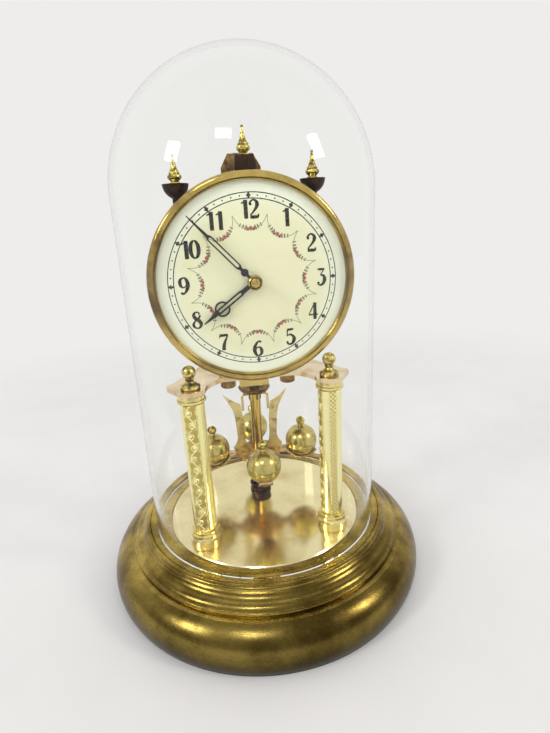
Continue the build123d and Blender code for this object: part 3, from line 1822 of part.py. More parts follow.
with BuildPart() as minute_wheel:
    wheel(minute_teeth, cannon_module, minute_phase, minute_axis, minute_wheel_front, motion_wheel_thickness)
    wheel(
        minute_pinion_leaves,
        hour_module,
        minute_pinion_phase,
        minute_axis,
        hour_wheel_front,
        minute_wheel_front - hour_wheel_front,
    )
    rod_along_y(
        minute_stud_radius + shaft_clearance,
        hour_wheel_front - overrun,
        front_plate_front,
        *minute_axis,
        mode=Mode.SUBTRACT,
    )
save(minute_wheel, "minute_wheel")

with BuildPart() as hour_wheel:
    wheel(hour_teeth, hour_module, hour_phase, hub, hour_wheel_front, motion_wheel_thickness)
    rod_along_y(hour_pipe_radius, hour_hand_front - running_gap, hour_wheel_front, *hub)
    rod_along_y(
        cannon_pipe_radius + shaft_clearance,
        hour_hand_front - running_gap - overrun,
        hour_wheel_back + overrun,
        *hub,
        mode=Mode.SUBTRACT,
    )
save(hour_wheel, "hour_wheel")

# Hands: a stem, a slotted blade and a point, turned to seven minutes to eight
minute_hand_angle = 317.4
hour_hand_angle = 233.9
hand_hub_rim = 1.4
hand_tip_width = 0.5
minute_hand_length = 46.7
minute_stem_width = 1.6
minute_blade_start = 10.0
minute_blade_end = 33.2
minute_blade_width = 3.0
minute_slot_width = 1.5
minute_bead_place = 7.3
minute_bead_radius = 2.0
hour_hand_length = 34.3
hour_stem_width = 2.3
hour_blade_start = 7.6
hour_blade_end = 25.6
hour_blade_width = 2.9
hour_slot_width = 1.3
hour_ring_place = 21.8
hour_ring_radius = 4.1
hour_ring_width = 0.9


def hand_blade(length, stem_width, blade_start, blade_end, blade_width, slot_width, hub_hole_radius):
    with BuildLine() as blade:
        half_stem = stem_width / 2
        half_blade = blade_width / 2
        side = [
            (half_stem, 0),
            (half_stem, blade_start),
            (half_blade, blade_start + half_blade),
            (half_blade, blade_end - half_blade),
            (half_stem, blade_end),
            (hand_tip_width / 2, length),
        ]
        Polyline(*side, *[(-x, y) for x, y in reversed(side)], close=True)
    make_face(blade.edges())
    Circle(hub_hole_radius + hand_hub_rim)
    with Locations((0, (blade_start + blade_end) / 2)):
        SlotOverall(blade_end - blade_start - blade_width, slot_width, rotation=90, mode=Mode.SUBTRACT)


with BuildPart() as minute_hand:
    with BuildSketch(hand_plane(minute_hand_back, minute_hand_angle)) as minute_outline:
        with Locations((0, minute_bead_place)):
            Circle(minute_bead_radius)
        hand_blade(
            minute_hand_length,
            minute_stem_width,
            minute_blade_start,
            minute_blade_end,
            minute_blade_width,
            minute_slot_width,
            cannon_pipe_radius,
        )
        Circle(cannon_pipe_radius + shaft_clearance, mode=Mode.SUBTRACT)
    extrude(minute_outline.sketch, amount=hand_thickness)
save(minute_hand, "minute_hand")

with BuildPart() as hour_hand:
    with BuildSketch(hand_plane(hour_hand_back, hour_hand_angle)) as hour_outline:
        with Locations((0, hour_ring_place)):
            Circle(hour_ring_radius)
            Circle(hour_ring_radius - hour_ring_width, mode=Mode.SUBTRACT)
        hand_blade(
            hour_hand_length,
            hour_stem_width,
            hour_blade_start,
            hour_blade_end,
            hour_blade_width,
            hour_slot_width,
            hour_pipe_radius,
        )
        Circle(hour_pipe_radius + shaft_clearance, mode=Mode.SUBTRACT)
    extrude(hour_outline.sketch, amount=hand_thickness)
save(hour_hand, "hour_hand")

# Domed brass nut that holds the minute hand
hand_nut_radius = 3.9
hand_nut_height = 2.6
hand_nut_edge = 0.9
hand_nut_bulge_share = 0.14

with BuildPart() as hand_nut:
    nut_front = minute_hand_front - hand_nut_height
    lathe_along_y(
        [
            (cannon_pipe_radius + shaft_clearance, minute_hand_front),
            (cannon_pipe_radius + shaft_clearance, minute_hand_front - nut_bore_depth),
            (0, minute_hand_front - nut_bore_depth),
            (0, nut_front),
            (hand_nut_radius, minute_hand_front - hand_nut_edge, hand_nut_bulge_share),
            (hand_nut_radius, minute_hand_front),
        ],
        *hub,
    )
save(hand_nut, "hand_nut")

# Glass dome: a cylinder closed by a half sphere, standing in the seat of the base
quarter_bulge_share = (1 - cos(radians(45))) / (2 * sin(radians(45)))

dome_rim_height = dome_seat_height + running_gap
dome_spring_height = clock_height - dome_radius

with BuildPart() as glass_dome:
    lathe(
        [
            (dome_radius - dome_wall, dome_rim_height),
            (dome_radius, dome_rim_height),
            (dome_radius, dome_spring_height),
            (0, clock_height, quarter_bulge_share),
            (0, clock_height - dome_wall),
            (dome_radius - dome_wall, dome_spring_height, -quarter_bulge_share),
        ]
    )
save(glass_dome, "glass_dome")
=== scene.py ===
import json
import bpy
import numpy as np
from math import cos, pi, radians, sin, sqrt
from mathutils import Matrix, Vector


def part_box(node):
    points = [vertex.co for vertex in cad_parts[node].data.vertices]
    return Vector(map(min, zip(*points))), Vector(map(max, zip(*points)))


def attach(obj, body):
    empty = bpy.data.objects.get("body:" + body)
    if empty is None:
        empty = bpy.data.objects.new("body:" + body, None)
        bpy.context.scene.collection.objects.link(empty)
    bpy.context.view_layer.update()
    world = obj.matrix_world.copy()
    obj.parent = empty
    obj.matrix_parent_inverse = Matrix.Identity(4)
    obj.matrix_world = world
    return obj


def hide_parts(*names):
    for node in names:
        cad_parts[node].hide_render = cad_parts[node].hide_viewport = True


# Desk pendulum clock: finishes, printed dial, embossed columns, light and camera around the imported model
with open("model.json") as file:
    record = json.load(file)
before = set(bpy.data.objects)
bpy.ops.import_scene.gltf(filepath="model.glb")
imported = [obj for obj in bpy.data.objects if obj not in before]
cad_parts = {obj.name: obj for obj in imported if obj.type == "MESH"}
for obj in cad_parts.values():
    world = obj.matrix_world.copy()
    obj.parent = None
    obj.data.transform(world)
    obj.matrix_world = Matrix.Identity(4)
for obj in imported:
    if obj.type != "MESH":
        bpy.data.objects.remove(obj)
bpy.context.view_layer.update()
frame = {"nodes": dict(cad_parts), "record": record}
nodes = frame["nodes"]
mm = 0.001
joints = {joint["name"]: joint for joint in frame["record"]["behaviour"]["joints"]}
dialCentre = (0, 0, joints["minute_arbor"]["pos_m"][2] / mm)  # the hands turn in the middle of the dial
print("frame loaded:", len(nodes), "pieces")


# Small helpers that every piece uses
def linear(hexColour):
    channels = [int(hexColour[i:i + 2], 16) / 255 for i in (1, 3, 5)]
    return tuple(c / 12.92 if c <= 0.04045 else ((c + 0.055) / 1.055) ** 2.4 for c in channels) + (1.0,)


def perMetre(size):  # how many cells of so many millimetres lie in a metre
    return 1000 / size


def startMaterial(name):
    material = bpy.data.materials.new(name)
    material.use_nodes = True
    material.node_tree.nodes.clear()
    return material


def addNode(owner, kind, values=None, links=None, **settings):
    node = owner.node_tree.nodes.new("ShaderNode" + kind)
    for name, value in settings.items():
        setattr(node, name, value)
    for socket, value in (values or {}).items():
        node.inputs[socket].default_value = value
    for socket, source in (links or {}).items():
        owner.node_tree.links.new(source, node.inputs[socket])
    return node


def fromTo(*ends):  # for a Map Range: from its low and high ends, to its low and high ends
    return dict(enumerate(ends, 1))


def meshObject(name, vertices, faces, materials, faceMaterials=None, smooth=False):
    mesh = bpy.data.meshes.new(name)
    mesh.from_pydata(vertices, [], faces)
    for material in materials:
        mesh.materials.append(material)
    if faceMaterials is not None:
        mesh.polygons.foreach_set("material_index", faceMaterials)
    mesh.polygons.foreach_set("use_smooth", [smooth] * len(mesh.polygons))
    mesh.update()
    piece = bpy.data.objects.new(name, mesh)
    bpy.context.scene.collection.objects.link(piece)
    return piece


# Metals: colour, tarnish in soft patches, a grain that breaks up the gloss, and lines left by turning.
# Patches and grain are in millimetres; real polishing grain is under 0.1, so it is drawn coarser to show
metals = {
    # Polished and lacquered brass, spun and buffed: lemon bright, with a little olive tarnish
    "polishedBrass": dict(clean="#f4e7a0", aged="#ab9144", patch=7, patchFrom=0.42, patchTo=0.80,
                          smooth=0.13, rough=0.30, grain=0.5, lines=(0.25, 0.25, 3.0), relief=0.02),
    # Buffed half-round rim: olive gold, with darker worn patches and a painted shade line in its inner groove
    "rimBrass": dict(clean="#d6ba68", aged="#5c441f", patch=32, patchFrom=0.36, patchTo=0.72,
                     smooth=0.09, rough=0.21, grain=0.6, lines=(1.0, 1.0, 1.0), relief=0.015,
                     line=dict(centre=dialCentre, radius=50.9, width=0.45, colour="#5d4a1f")),
    # Small turned finials and nuts: bright lemon with brown tarnish in soft patches
    "turnedBrass": dict(clean="#e9d87c", aged="#5a4319", patch=2.6, patchFrom=0.39, patchTo=0.66,
                        smooth=0.13, rough=0.30, grain=0.4, lines=(0.3, 0.3, 2.0), relief=0.02),
    # Nut of the hands: turned brass, with a painted shade ring in the step round the dome
    "nutBrass": dict(clean="#d2b86c", aged="#66502a", patch=2.2, patchFrom=0.42, patchTo=0.76,
                     smooth=0.14, rough=0.28, grain=0.4, lines=(1.0, 1.0, 1.0), relief=0.015,
                     line=dict(centre=dialCentre, radius=2.75, width=0.50, colour="#2c1e10")),
    # Plated ball weights: olive brass, buffed, faint rubbing marks
    "ballBrass": dict(clean="#cdbf74", aged="#84713a", patch=6, patchFrom=0.42, patchTo=0.85,
                      smooth=0.20, rough=0.32, grain=0.8, lines=(0.3, 0.3, 1.6), relief=0.012),
    # Polished floor plate: a pale hazy mirror with fine wiping marks
    "plateBrass": dict(clean="#f3e6b4", aged="#d8c285", patch=26, patchFrom=0.38, patchTo=0.85,
                       smooth=0.12, rough=0.25, grain=0.7, lines=(1.0, 0.4, 1.0), relief=0.015),
    # Pressed brass of the leaf arms: pale, stained brown in soft patches
    "leafBrass": dict(clean="#e6d392", aged="#8a6a35", patch=6, patchFrom=0.46, patchTo=0.74,
                      smooth=0.20, rough=0.36, grain=0.4, lines=(0.6, 0.6, 1.4), relief=0.03),
    # Aged pressed brass of the pendulum's carrier: pinkish gold, brown in soft patches
    "agedBrass": dict(clean="#e0c391", aged="#8d6c3a", patch=5, patchFrom=0.34, patchTo=0.74,
                      smooth=0.18, rough=0.36, grain=0.4, lines=(0.6, 0.6, 1.4), relief=0.03),
    # Lacquered tube of the pendulum: copper gold with dark drawn streaks
    "copperBrass": dict(clean="#e2bf6a", aged="#5c4320", patch=2.2, patchFrom=0.42, patchTo=0.66,
                        smooth=0.12, rough=0.28, grain=0.4, lines=(1.4, 1.4, 0.08), relief=0.02, drawn=True),
    # Rolled platform sheet: pale pinkish gold, lightly grained
    "platformBrass": dict(clean="#efdcb6", aged="#c09a62", patch=14, patchFrom=0.40, patchTo=0.85,
                          smooth=0.16, rough=0.30, grain=0.4, lines=(0.3, 1.6, 1.0), relief=0.02),
    # Movement plates and wheels: milled brass with a brushed grain
    "trainBrass": dict(clean="#d9c278", aged="#b3974f", patch=14, patchFrom=0.35, patchTo=0.9,
                       smooth=0.22, rough=0.38, grain=0.25, lines=(0.2, 1.0, 2.4), relief=0.03),
    # Dark bronze patina over cast brass: near black with a red-brown sheen where it is rubbed. On the ears
    # between the movement's plates the near black is painted shade
    "bronzePatinaAndShade": dict(clean="#46301f", aged="#1b110b", patch=4, patchFrom=0.30, patchTo=0.7,
                       smooth=0.26, rough=0.46, grain=0.35, lines=(1.0, 1.0, 1.0), relief=0.05),
    # Bracket over the movement: brass that has gone brown
    "brownBrass": dict(clean="#a98650", aged="#4c3720", patch=5, patchFrom=0.36, patchTo=0.74,
                       smooth=0.24, rough=0.42, grain=0.4, lines=(1.0, 1.0, 1.0), relief=0.03),
    # Turned steel of arbors and screws: cool grey with fine tool lines
    "turnedSteel": dict(clean="#b9babd", aged="#77777a", patch=4, patchFrom=0.45, patchTo=0.9,
                        smooth=0.18, rough=0.34, grain=0.2, lines=(0.5, 2.5, 0.5), relief=0.03),
    # Tempered spring steel: blue-grey oxide film
    "bluedSteel": dict(clean="#59616f", aged="#2c3038", patch=5, patchFrom=0.35, patchTo=0.8,
                       smooth=0.20, rough=0.34, grain=0.3, lines=(0.4, 0.4, 2.0), relief=0.02),
}
# The noise that all metals share: soft patches, a finer grain in them, and how deep that grain is cut
metalNoise = dict(patchDetail=5.0, patchRoughness=0.6, grainDetail=3.0, grainShare=0.22, bumpStrength=0.35)


def distanceFrom(material, place, centre):
    # How far a point lies from an axis that runs front to back through the centre
    flat = addNode(material, "VectorMath", {1: (1.0, 0.0, 1.0)}, {0: place.outputs["Object"]},
                   operation="MULTIPLY")
    reach = addNode(material, "VectorMath", {1: tuple(value * mm for value in centre)}, {0: flat.outputs[0]},
                    operation="DISTANCE")
    return reach.outputs["Value"]


def darkLine(material, place, colour, line):
    # Painted shade: a dark circle round an axis that runs front to back, full for a third of its width, then
    # fading
    reach = distanceFrom(material, place, line["centre"])
    off = addNode(material, "Math", {1: line["radius"] * mm}, {0: reach}, operation="SUBTRACT")
    apart = addNode(material, "Math", {}, {0: off.outputs[0]}, operation="ABSOLUTE")
    clear = addNode(material, "MapRange", fromTo(line["width"] / 3 * mm, line["width"] * mm),
                    {"Value": apart.outputs[0]}, interpolation_type="SMOOTHSTEP")
    mixed = addNode(material, "Mix", {6: linear(line["colour"])}, {0: clear.outputs["Result"], 7: colour},
                    data_type="RGBA")
    return mixed.outputs[2]


def makeMetal(name, finish):
    material = startMaterial(name)
    place = addNode(material, "TexCoord")
    stretched = addNode(material, "Mapping", {"Scale": finish["lines"]}, {"Vector": place.outputs["Object"]})
    spread = stretched.outputs["Vector"] if finish.get("drawn") else place.outputs["Object"]
    patches = addNode(material, "TexNoise", {"Scale": perMetre(finish["patch"]),
                                             "Detail": metalNoise["patchDetail"],
                                             "Roughness": metalNoise["patchRoughness"]}, {"Vector": spread})
    tarnish = addNode(material, "MapRange", fromTo(finish["patchFrom"], finish["patchTo"]),
                      {"Value": patches.outputs["Fac"]}, interpolation_type="SMOOTHSTEP")
    grain = addNode(material, "TexNoise", {"Scale": perMetre(finish["grain"]),
                                           "Detail": metalNoise["grainDetail"]},
                    {"Vector": stretched.outputs["Vector"]})
    blend = addNode(material, "Math", {1: metalNoise["grainShare"]}, {0: grain.outputs["Fac"]},
                    operation="MULTIPLY")
    amount = addNode(material, "Math", {}, {0: tarnish.outputs["Result"], 1: blend.outputs[0]},
                     operation="ADD", use_clamp=True)
    colour = addNode(material, "Mix", {6: linear(finish["clean"]), 7: linear(finish["aged"])},
                     {0: amount.outputs[0]}, data_type="RGBA")
    shown = colour.outputs[2]
    # Painted shade: a dark ring standing for the shade in a groove round the part
    if "line" in finish:
        shown = darkLine(material, place, shown, finish["line"])
    gloss = addNode(material, "MapRange", {3: finish["smooth"], 4: finish["rough"]},
                    {"Value": amount.outputs[0]})
    bump = addNode(material, "Bump", {"Strength": metalNoise["bumpStrength"],
                                      "Distance": finish["relief"] * mm},
                   {"Height": grain.outputs["Fac"]})
    surface = addNode(material, "BsdfPrincipled", {"Metallic": 1.0},
                      {"Base Color": shown, "Roughness": gloss.outputs["Result"],
                       "Normal": bump.outputs["Normal"]})
    addNode(material, "OutputMaterial", {}, {"Surface": surface.outputs[0]})
    return material


finishes = {name: makeMetal(name, finish) for name, finish in metals.items()}
print("metals made:", len(finishes))

# Antique brass of the base: spun sheet, brushed round the turning axis, darkened and rubbed back on the rolls,
# and given painted shade towards the foot.
# The brushed lines are about three times as wide as real ones, so that they show
# shadeTop and shadeMost: height in millimetres and strength of the painted shade towards the foot
antique = dict(rubbed="#cfb55f", aged="#76612c", dark="#21190c", patch=46, speck=1.3, line=0.35,
               smooth=0.21, rough=0.33, relief=0.035, shadeTop=31, shadeMost=0.95,
               lineDrag=0.006, mottleSpan=(0.35, 0.66), stainSpan=(0.24, 0.46), stainMost=0.6,
               glossSpan=(0.3, 0.7), bumpStrength=0.4)


def makeAntiqueBrass(finish):
    material = startMaterial("antiqueBrass")
    place = addNode(material, "TexCoord")
    flat = addNode(material, "VectorMath", {1: (1.0, 1.0, 0.0)}, {0: place.outputs["Object"]},
                   operation="MULTIPLY")
    radius = addNode(material, "VectorMath", {}, {0: flat.outputs[0]}, operation="LENGTH")
    way = addNode(material, "VectorMath", {}, {0: flat.outputs[0]}, operation="NORMALIZE")
    apart = addNode(material, "SeparateXYZ", {}, {0: place.outputs["Object"]})
    # The tool's lines change quickly across the profile and hardly at all round the axis
    across = addNode(material, "Math", {}, {0: radius.outputs["Value"], 1: apart.outputs["Z"]},
                     operation="SUBTRACT")
    along = addNode(material, "VectorMath", {"Scale": finish["lineDrag"]}, {0: way.outputs[0]},
                    operation="SCALE")
    aside = addNode(material, "SeparateXYZ", {}, {0: along.outputs[0]})
    turned = addNode(material, "CombineXYZ", {}, {0: aside.outputs["X"], 1: aside.outputs["Y"],
                                                  2: across.outputs[0]})
    lines = addNode(material, "TexNoise", {"Scale": perMetre(finish["line"]), "Detail": 3.0,
                                           "Roughness": 0.65}, {"Vector": turned.outputs[0]})
    patches = addNode(material, "TexNoise", {"Scale": perMetre(finish["patch"]), "Detail": 6.0,
                                             "Roughness": 0.62}, {"Vector": place.outputs["Object"]})
    specks = addNode(material, "TexNoise", {"Scale": perMetre(finish["speck"]), "Detail": 4.0,
                                            "Roughness": 0.7}, {"Vector": place.outputs["Object"]})
    mottle = addNode(material, "MapRange", fromTo(*finish["mottleSpan"]),
                     {"Value": patches.outputs["Fac"]}, interpolation_type="SMOOTHSTEP")
    warm = addNode(material, "Mix", {6: linear(finish["rubbed"]), 7: linear(finish["aged"])},
                   {0: mottle.outputs["Result"]}, data_type="RGBA")
    fine = addNode(material, "Math", {}, {0: specks.outputs["Fac"], 1: lines.outputs["Fac"]},
                   operation="MULTIPLY")
    stain = addNode(material, "MapRange", fromTo(*finish["stainSpan"], 0.0, finish["stainMost"]),
                    {"Value": fine.outputs[0]}, interpolation_type="SMOOTHSTEP")
    colour = addNode(material, "Mix", {7: linear(finish["dark"])},
                     {0: stain.outputs["Result"], 6: warm.outputs[2]}, data_type="RGBA")
    # Painted shade: the sheet is darkened towards the foot, most at the floor and none above shadeTop
    low = addNode(material, "MapRange", fromTo(finish["shadeTop"] * mm, 0.0, 0.0, finish["shadeMost"]),
                  {"Value": apart.outputs["Z"]}, interpolation_type="SMOOTHSTEP")
    shown = addNode(material, "Mix", {7: linear(finish["dark"])},
                    {0: low.outputs["Result"], 6: colour.outputs[2]}, data_type="RGBA")
    gloss = addNode(material, "MapRange", fromTo(*finish["glossSpan"], finish["smooth"], finish["rough"]),
                    {"Value": lines.outputs["Fac"]})
    bump = addNode(material, "Bump", {"Strength": finish["bumpStrength"], "Distance": finish["relief"] * mm},
                   {"Height": lines.outputs["Fac"]})
    surface = addNode(material, "BsdfPrincipled", {"Metallic": 1.0},
                      {"Base Color": shown.outputs[2], "Roughness": gloss.outputs["Result"],
                       "Normal": bump.outputs["Normal"]})
    addNode(material, "OutputMaterial", {}, {"Surface": surface.outputs[0]})
    return material


finishes["antiqueBrass"] = makeAntiqueBrass(antique)

# Embossed sheet brass of the columns: yellow on the raised work, browner in the ground between it
embossed = dict(raised="#fcf4b4", ground="#c6b05c", patch=0.8, smooth=0.20, rough=0.40,
                speckShare=0.5, shadeSpan=(0.25, 0.95))


def makeEmbossedBrass(finish):
    material = startMaterial("embossedBrass")
    place = addNode(material, "TexCoord")
    height = addNode(material, "Attribute", attribute_name="reliefHeight")
    specks = addNode(material, "TexNoise", {"Scale": perMetre(finish["patch"]), "Detail": 4.0},
                     {"Vector": place.outputs["Object"]})
    part = addNode(material, "Math", {1: finish["speckShare"]}, {0: specks.outputs["Fac"]},
                   operation="MULTIPLY")
    lift = addNode(material, "Math", {}, {0: height.outputs["Fac"], 1: part.outputs[0]}, operation="ADD")
    shade = addNode(material, "MapRange", fromTo(*finish["shadeSpan"]), {"Value": lift.outputs[0]},
                    interpolation_type="SMOOTHSTEP")
    colour = addNode(material, "Mix", {6: linear(finish["ground"]), 7: linear(finish["raised"])},
                     {0: shade.outputs["Result"]}, data_type="RGBA")
    gloss = addNode(material, "MapRange", {3: finish["rough"], 4: finish["smooth"]},
                    {"Value": shade.outputs["Result"]})
    surface = addNode(material, "BsdfPrincipled", {"Metallic": 1.0},
                      {"Base Color": colour.outputs[2], "Roughness": gloss.outputs["Result"]})
    addNode(material, "OutputMaterial", {}, {"Surface": surface.outputs[0]})
    return material


finishes["embossedBrass"] = makeEmbossedBrass(embossed)

# Fired enamel of the dial: cream in the middle, cooler outside the minute ring, under a glassy glaze
enamel = dict(cream="#dddcb8", cool="#e2e5d0", warmSpot="#d9d7ac", patch=22, ringInner=34.0, ringOuter=47.0,
              warmSpan=(0.4, 0.75), roughness=0.16, glaze=0.4, glazeRoughness=0.06, ripple=0.05,
              rippleStrength=0.15)


def makeEnamel(finish):
    material = startMaterial("firedEnamel")
    place = addNode(material, "TexCoord")
    outside = addNode(material, "MapRange", fromTo(finish["ringInner"] * mm, finish["ringOuter"] * mm),
                      {"Value": distanceFrom(material, place, dialCentre)}, interpolation_type="SMOOTHSTEP")
    patches = addNode(material, "TexNoise", {"Scale": perMetre(finish["patch"]), "Detail": 3.0},
                      {"Vector": place.outputs["Object"]})
    warmth = addNode(material, "MapRange", fromTo(*finish["warmSpan"]),
                     {"Value": patches.outputs["Fac"]})
    middle = addNode(material, "Mix", {6: linear(finish["cream"]), 7: linear(finish["warmSpot"])},
                     {0: warmth.outputs["Result"]}, data_type="RGBA")
    colour = addNode(material, "Mix", {7: linear(finish["cool"])},
                     {0: outside.outputs["Result"], 6: middle.outputs[2]}, data_type="RGBA")
    ripple = addNode(material, "Bump", {"Strength": finish["rippleStrength"],
                                        "Distance": finish["ripple"] * mm},
                     {"Height": patches.outputs["Fac"]})
    surface = addNode(material, "BsdfPrincipled", {"Roughness": finish["roughness"],
                                                   "Coat Weight": finish["glaze"],
                                                   "Coat Roughness": finish["glazeRoughness"]},
                      {"Base Color": colour.outputs[2], "Normal": ripple.outputs["Normal"]})
    addNode(material, "OutputMaterial", {}, {"Surface": surface.outputs[0]})
    return material


finishes["firedEnamel"] = makeEnamel(enamel)

# Coloured coats: each is a base colour that a fine noise shifts towards a second one
coatNoise = dict(span=(0.35, 0.65), detail=4.0, bumpStrength=0.5)
coats = {
    # Black baked paint of the hands, half matte with a thin edge sheen
    "handBlack": dict(one="#0c0b0b", two="#1d1b1a", size=1.5, roughness=(0.30, 0.46), relief=0.01),
    # Dial printing fired into the enamel
    "printBlack": dict(one="#15140f", two="#2a261e", size=1.2, roughness=(0.22, 0.34), relief=0.0),
    "printRose": dict(one="#c58a7c", two="#9c4f4a", size=0.6, roughness=(0.22, 0.34), relief=0.0),
    "printRed": dict(one="#8e2f33", two="#b04a48", size=0.5, roughness=(0.22, 0.34), relief=0.0),
    "printGreen": dict(one="#4b5641", two="#333f33", size=0.7, roughness=(0.22, 0.34), relief=0.0),
    "printVine": dict(one="#5d5c47", two="#6d7157", size=0.8, roughness=(0.22, 0.34), relief=0.0),
    # Dense pressed felt under the base: matte, its fibres drawn thicker than real ones so that they show
    "baseFelt": dict(one="#22331f", two="#3a4b33", size=0.35, roughness=(0.85, 1.0), relief=0.12),
}


def makeCoat(name, coat):
    material = startMaterial(name)
    place = addNode(material, "TexCoord")
    mottle = addNode(material, "TexNoise", {"Scale": perMetre(coat["size"]), "Detail": coatNoise["detail"]},
                     {"Vector": place.outputs["Object"]})
    spread = addNode(material, "MapRange", fromTo(*coatNoise["span"]),
                     {"Value": mottle.outputs["Fac"]})
    colour = addNode(material, "Mix", {6: linear(coat["one"]), 7: linear(coat["two"])},
                     {0: spread.outputs["Result"]}, data_type="RGBA")
    gloss = addNode(material, "MapRange", {3: coat["roughness"][0], 4: coat["roughness"][1]},
                    {"Value": mottle.outputs["Fac"]})
    surface = addNode(material, "BsdfPrincipled", {}, {"Base Color": colour.outputs[2],
                                                       "Roughness": gloss.outputs["Result"]})
    if coat["relief"]:
        bump = addNode(material, "Bump", {"Strength": coatNoise["bumpStrength"],
                                          "Distance": coat["relief"] * mm},
                       {"Height": mottle.outputs["Fac"]})
        material.node_tree.links.new(bump.outputs["Normal"], surface.inputs["Normal"])
    addNode(material, "OutputMaterial", {}, {"Surface": surface.outputs[0]})
    return material


finishes.update({name: makeCoat(name, coat) for name, coat in coats.items()})

# Blown glass of the dome: clear and thin, with a slow waviness; its shadow is let through
glass = dict(tint="#fefffe", shadow="#fcfdfd", wave=60, relief=0.02, waveStrength=0.25,
             bend=1.26, shine=0.35)


def makeGlass(finish):
    material = startMaterial("blownGlass")
    place = addNode(material, "TexCoord")
    wave = addNode(material, "TexNoise", {"Scale": perMetre(finish["wave"]), "Detail": 1.0},
                   {"Vector": place.outputs["Object"]})
    bump = addNode(material, "Bump", {"Strength": finish["waveStrength"], "Distance": finish["relief"] * mm},
                   {"Height": wave.outputs["Fac"]})
    clear = addNode(material, "BsdfPrincipled", {"Base Color": linear(finish["tint"]), "Roughness": 0.0,
                                                 "Transmission Weight": 1.0, "IOR": finish["bend"],
                                                 "Specular IOR Level": finish["shine"]},
                    {"Normal": bump.outputs["Normal"]})
    through = addNode(material, "BsdfTransparent", {"Color": linear(finish["shadow"])})
    ray = addNode(material, "LightPath")
    both = addNode(material, "MixShader", {}, {0: ray.outputs["Is Shadow Ray"], 1: clear.outputs[0],
                                               2: through.outputs[0]})
    addNode(material, "OutputMaterial", {}, {"Surface": both.outputs[0]})
    return material


finishes["blownGlass"] = makeGlass(glass)
print("finishes made:", len(finishes))

# Which finish each piece of the model gets: first by its kind of material, then piece by piece
slotFinish = {
    "polished_brass": "polishedBrass", "embossed_brass": "embossedBrass", "antique_brass": "antiqueBrass",
    "dark_bronze": "bronzePatinaAndShade", "train_brass": "trainBrass", "enamel": "firedEnamel",
    "black_hands": "handBlack", "steel": "turnedSteel", "blued_steel": "bluedSteel", "felt": "baseFelt",
    "clear_glass": "blownGlass",
}
pieceFinish = {
    "base_plate": "plateBrass", "bezel": "rimBrass", "platform": "platformBrass",
    "pendulum_column": "copperBrass", "pendulum_ball_front": "ballBrass", "pendulum_ball_back": "ballBrass",
    "pendulum_ball_left": "ballBrass", "pendulum_ball_right": "ballBrass", "leaf_arm_left": "leafBrass",
    "leaf_arm_right": "leafBrass", "pendulum_carrier": "agedBrass", "pendulum_dish": "brownBrass",
    "pendulum_bail": "leafBrass", "movement_screws": "brownBrass", "suspension_bracket": "brownBrass",
    "finial_nuts": "turnedBrass", "centre_finial": "turnedBrass", "side_finials": "turnedBrass",
    "hand_nut": "nutBrass", "ball_studs": "turnedBrass",
}
bodyOf = {node: body for body, members in frame["record"]["behaviour"]["bodies"].items() for node in members}
for name, piece in nodes.items():
    for materialSlot in piece.material_slots:
        wanted = pieceFinish.get(name) or slotFinish[materialSlot.material.name.split(".")[0]]
        materialSlot.material = finishes[wanted]
print("finishes given to the model's pieces")

# The printed dial: lengths in millimetres from the middle of the dial, seen from the front
dialLow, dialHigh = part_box("dial")
dial = dict(crownFront=dialLow.y / mm, edgeRadius=dialHigh.x / mm, edgeDrop=2.0, holeRadius=2.5,
            lift=0.03, layer=0.01, ringOuter=44.25, ringInner=41.35, ringLine=0.50, minuteDot=0.40,
            hourMark=1.5, hourMarkAcross=0.85, hourMarkWide=0.42, numeralRadius=36.2, numeralHeight=9.2,
            numeralGap=0.62, oneGap=0.50, strokeWeight=1.12, strokeLeast=0.10)


class DialPrint:
    # Collects flat shapes and lays them on the domed enamel
    def __init__(self):
        self.vertices, self.faces, self.inks = [], [], []

    def place(self, x, z, layer):
        # The enamel is an arc from the edge of the hole to the rim of the dial
        run = dial["edgeRadius"] - dial["holeRadius"]
        out = min(max((sqrt(x * x + z * z) - dial["holeRadius"]) / run, 0), 1)
        bow = dial["edgeDrop"] / (4 * dial["edgeRadius"]) * sqrt(run ** 2 + dial["edgeDrop"] ** 2)
        y = dial["crownFront"] + dial["edgeDrop"] * out - 4 * bow * out * (1 - out)
        y -= dial["lift"] + layer * dial["layer"]
        self.vertices.append((x * mm, y * mm, (z + dialCentre[2]) * mm))
        return len(self.vertices) - 1

    def shape(self, points, ink, layer=0):
        self.faces.append([self.place(x, z, layer) for x, z in points])
        self.inks.append(ink)

    def disc(self, x, z, radius, ink, layer=0, sides=12):
        turns = [2 * pi * i / sides for i in range(sides)]
        self.shape([(x + radius * cos(t), z + radius * sin(t)) for t in turns], ink, layer)

    def ribbon(self, points, ink, layer=0, closed=False):
        # points are (x, z, width); a run of four or more is smoothed into a curve
        line = smoothed(points) if len(points) > 3 else divided(points)
        sides = []
        for i, (x, z, width) in enumerate(line):
            before = line[max(i - 1, 0)]
            after = line[min(i + 1, len(line) - 1)]
            if closed and i in (0, len(line) - 1):
                before, after = line[-2], line[1]
            dx, dz = after[0] - before[0], after[1] - before[1]
            length = sqrt(dx * dx + dz * dz) or 1.0
            nx, nz = -dz / length * width / 2, dx / length * width / 2
            sides.append((self.place(x + nx, z + nz, layer), self.place(x - nx, z - nz, layer)))
        for (leftA, rightA), (leftB, rightB) in zip(sides, sides[1:]):
            self.faces.append([leftA, rightA, rightB, leftB])
            self.inks.append(ink)


def divided(points, steps=5):
    line = []
    for a, b in zip(points, points[1:]):
        line += [tuple(p + (q - p) * step / steps for p, q in zip(a, b)) for step in range(steps)]
    return line + [points[-1]]


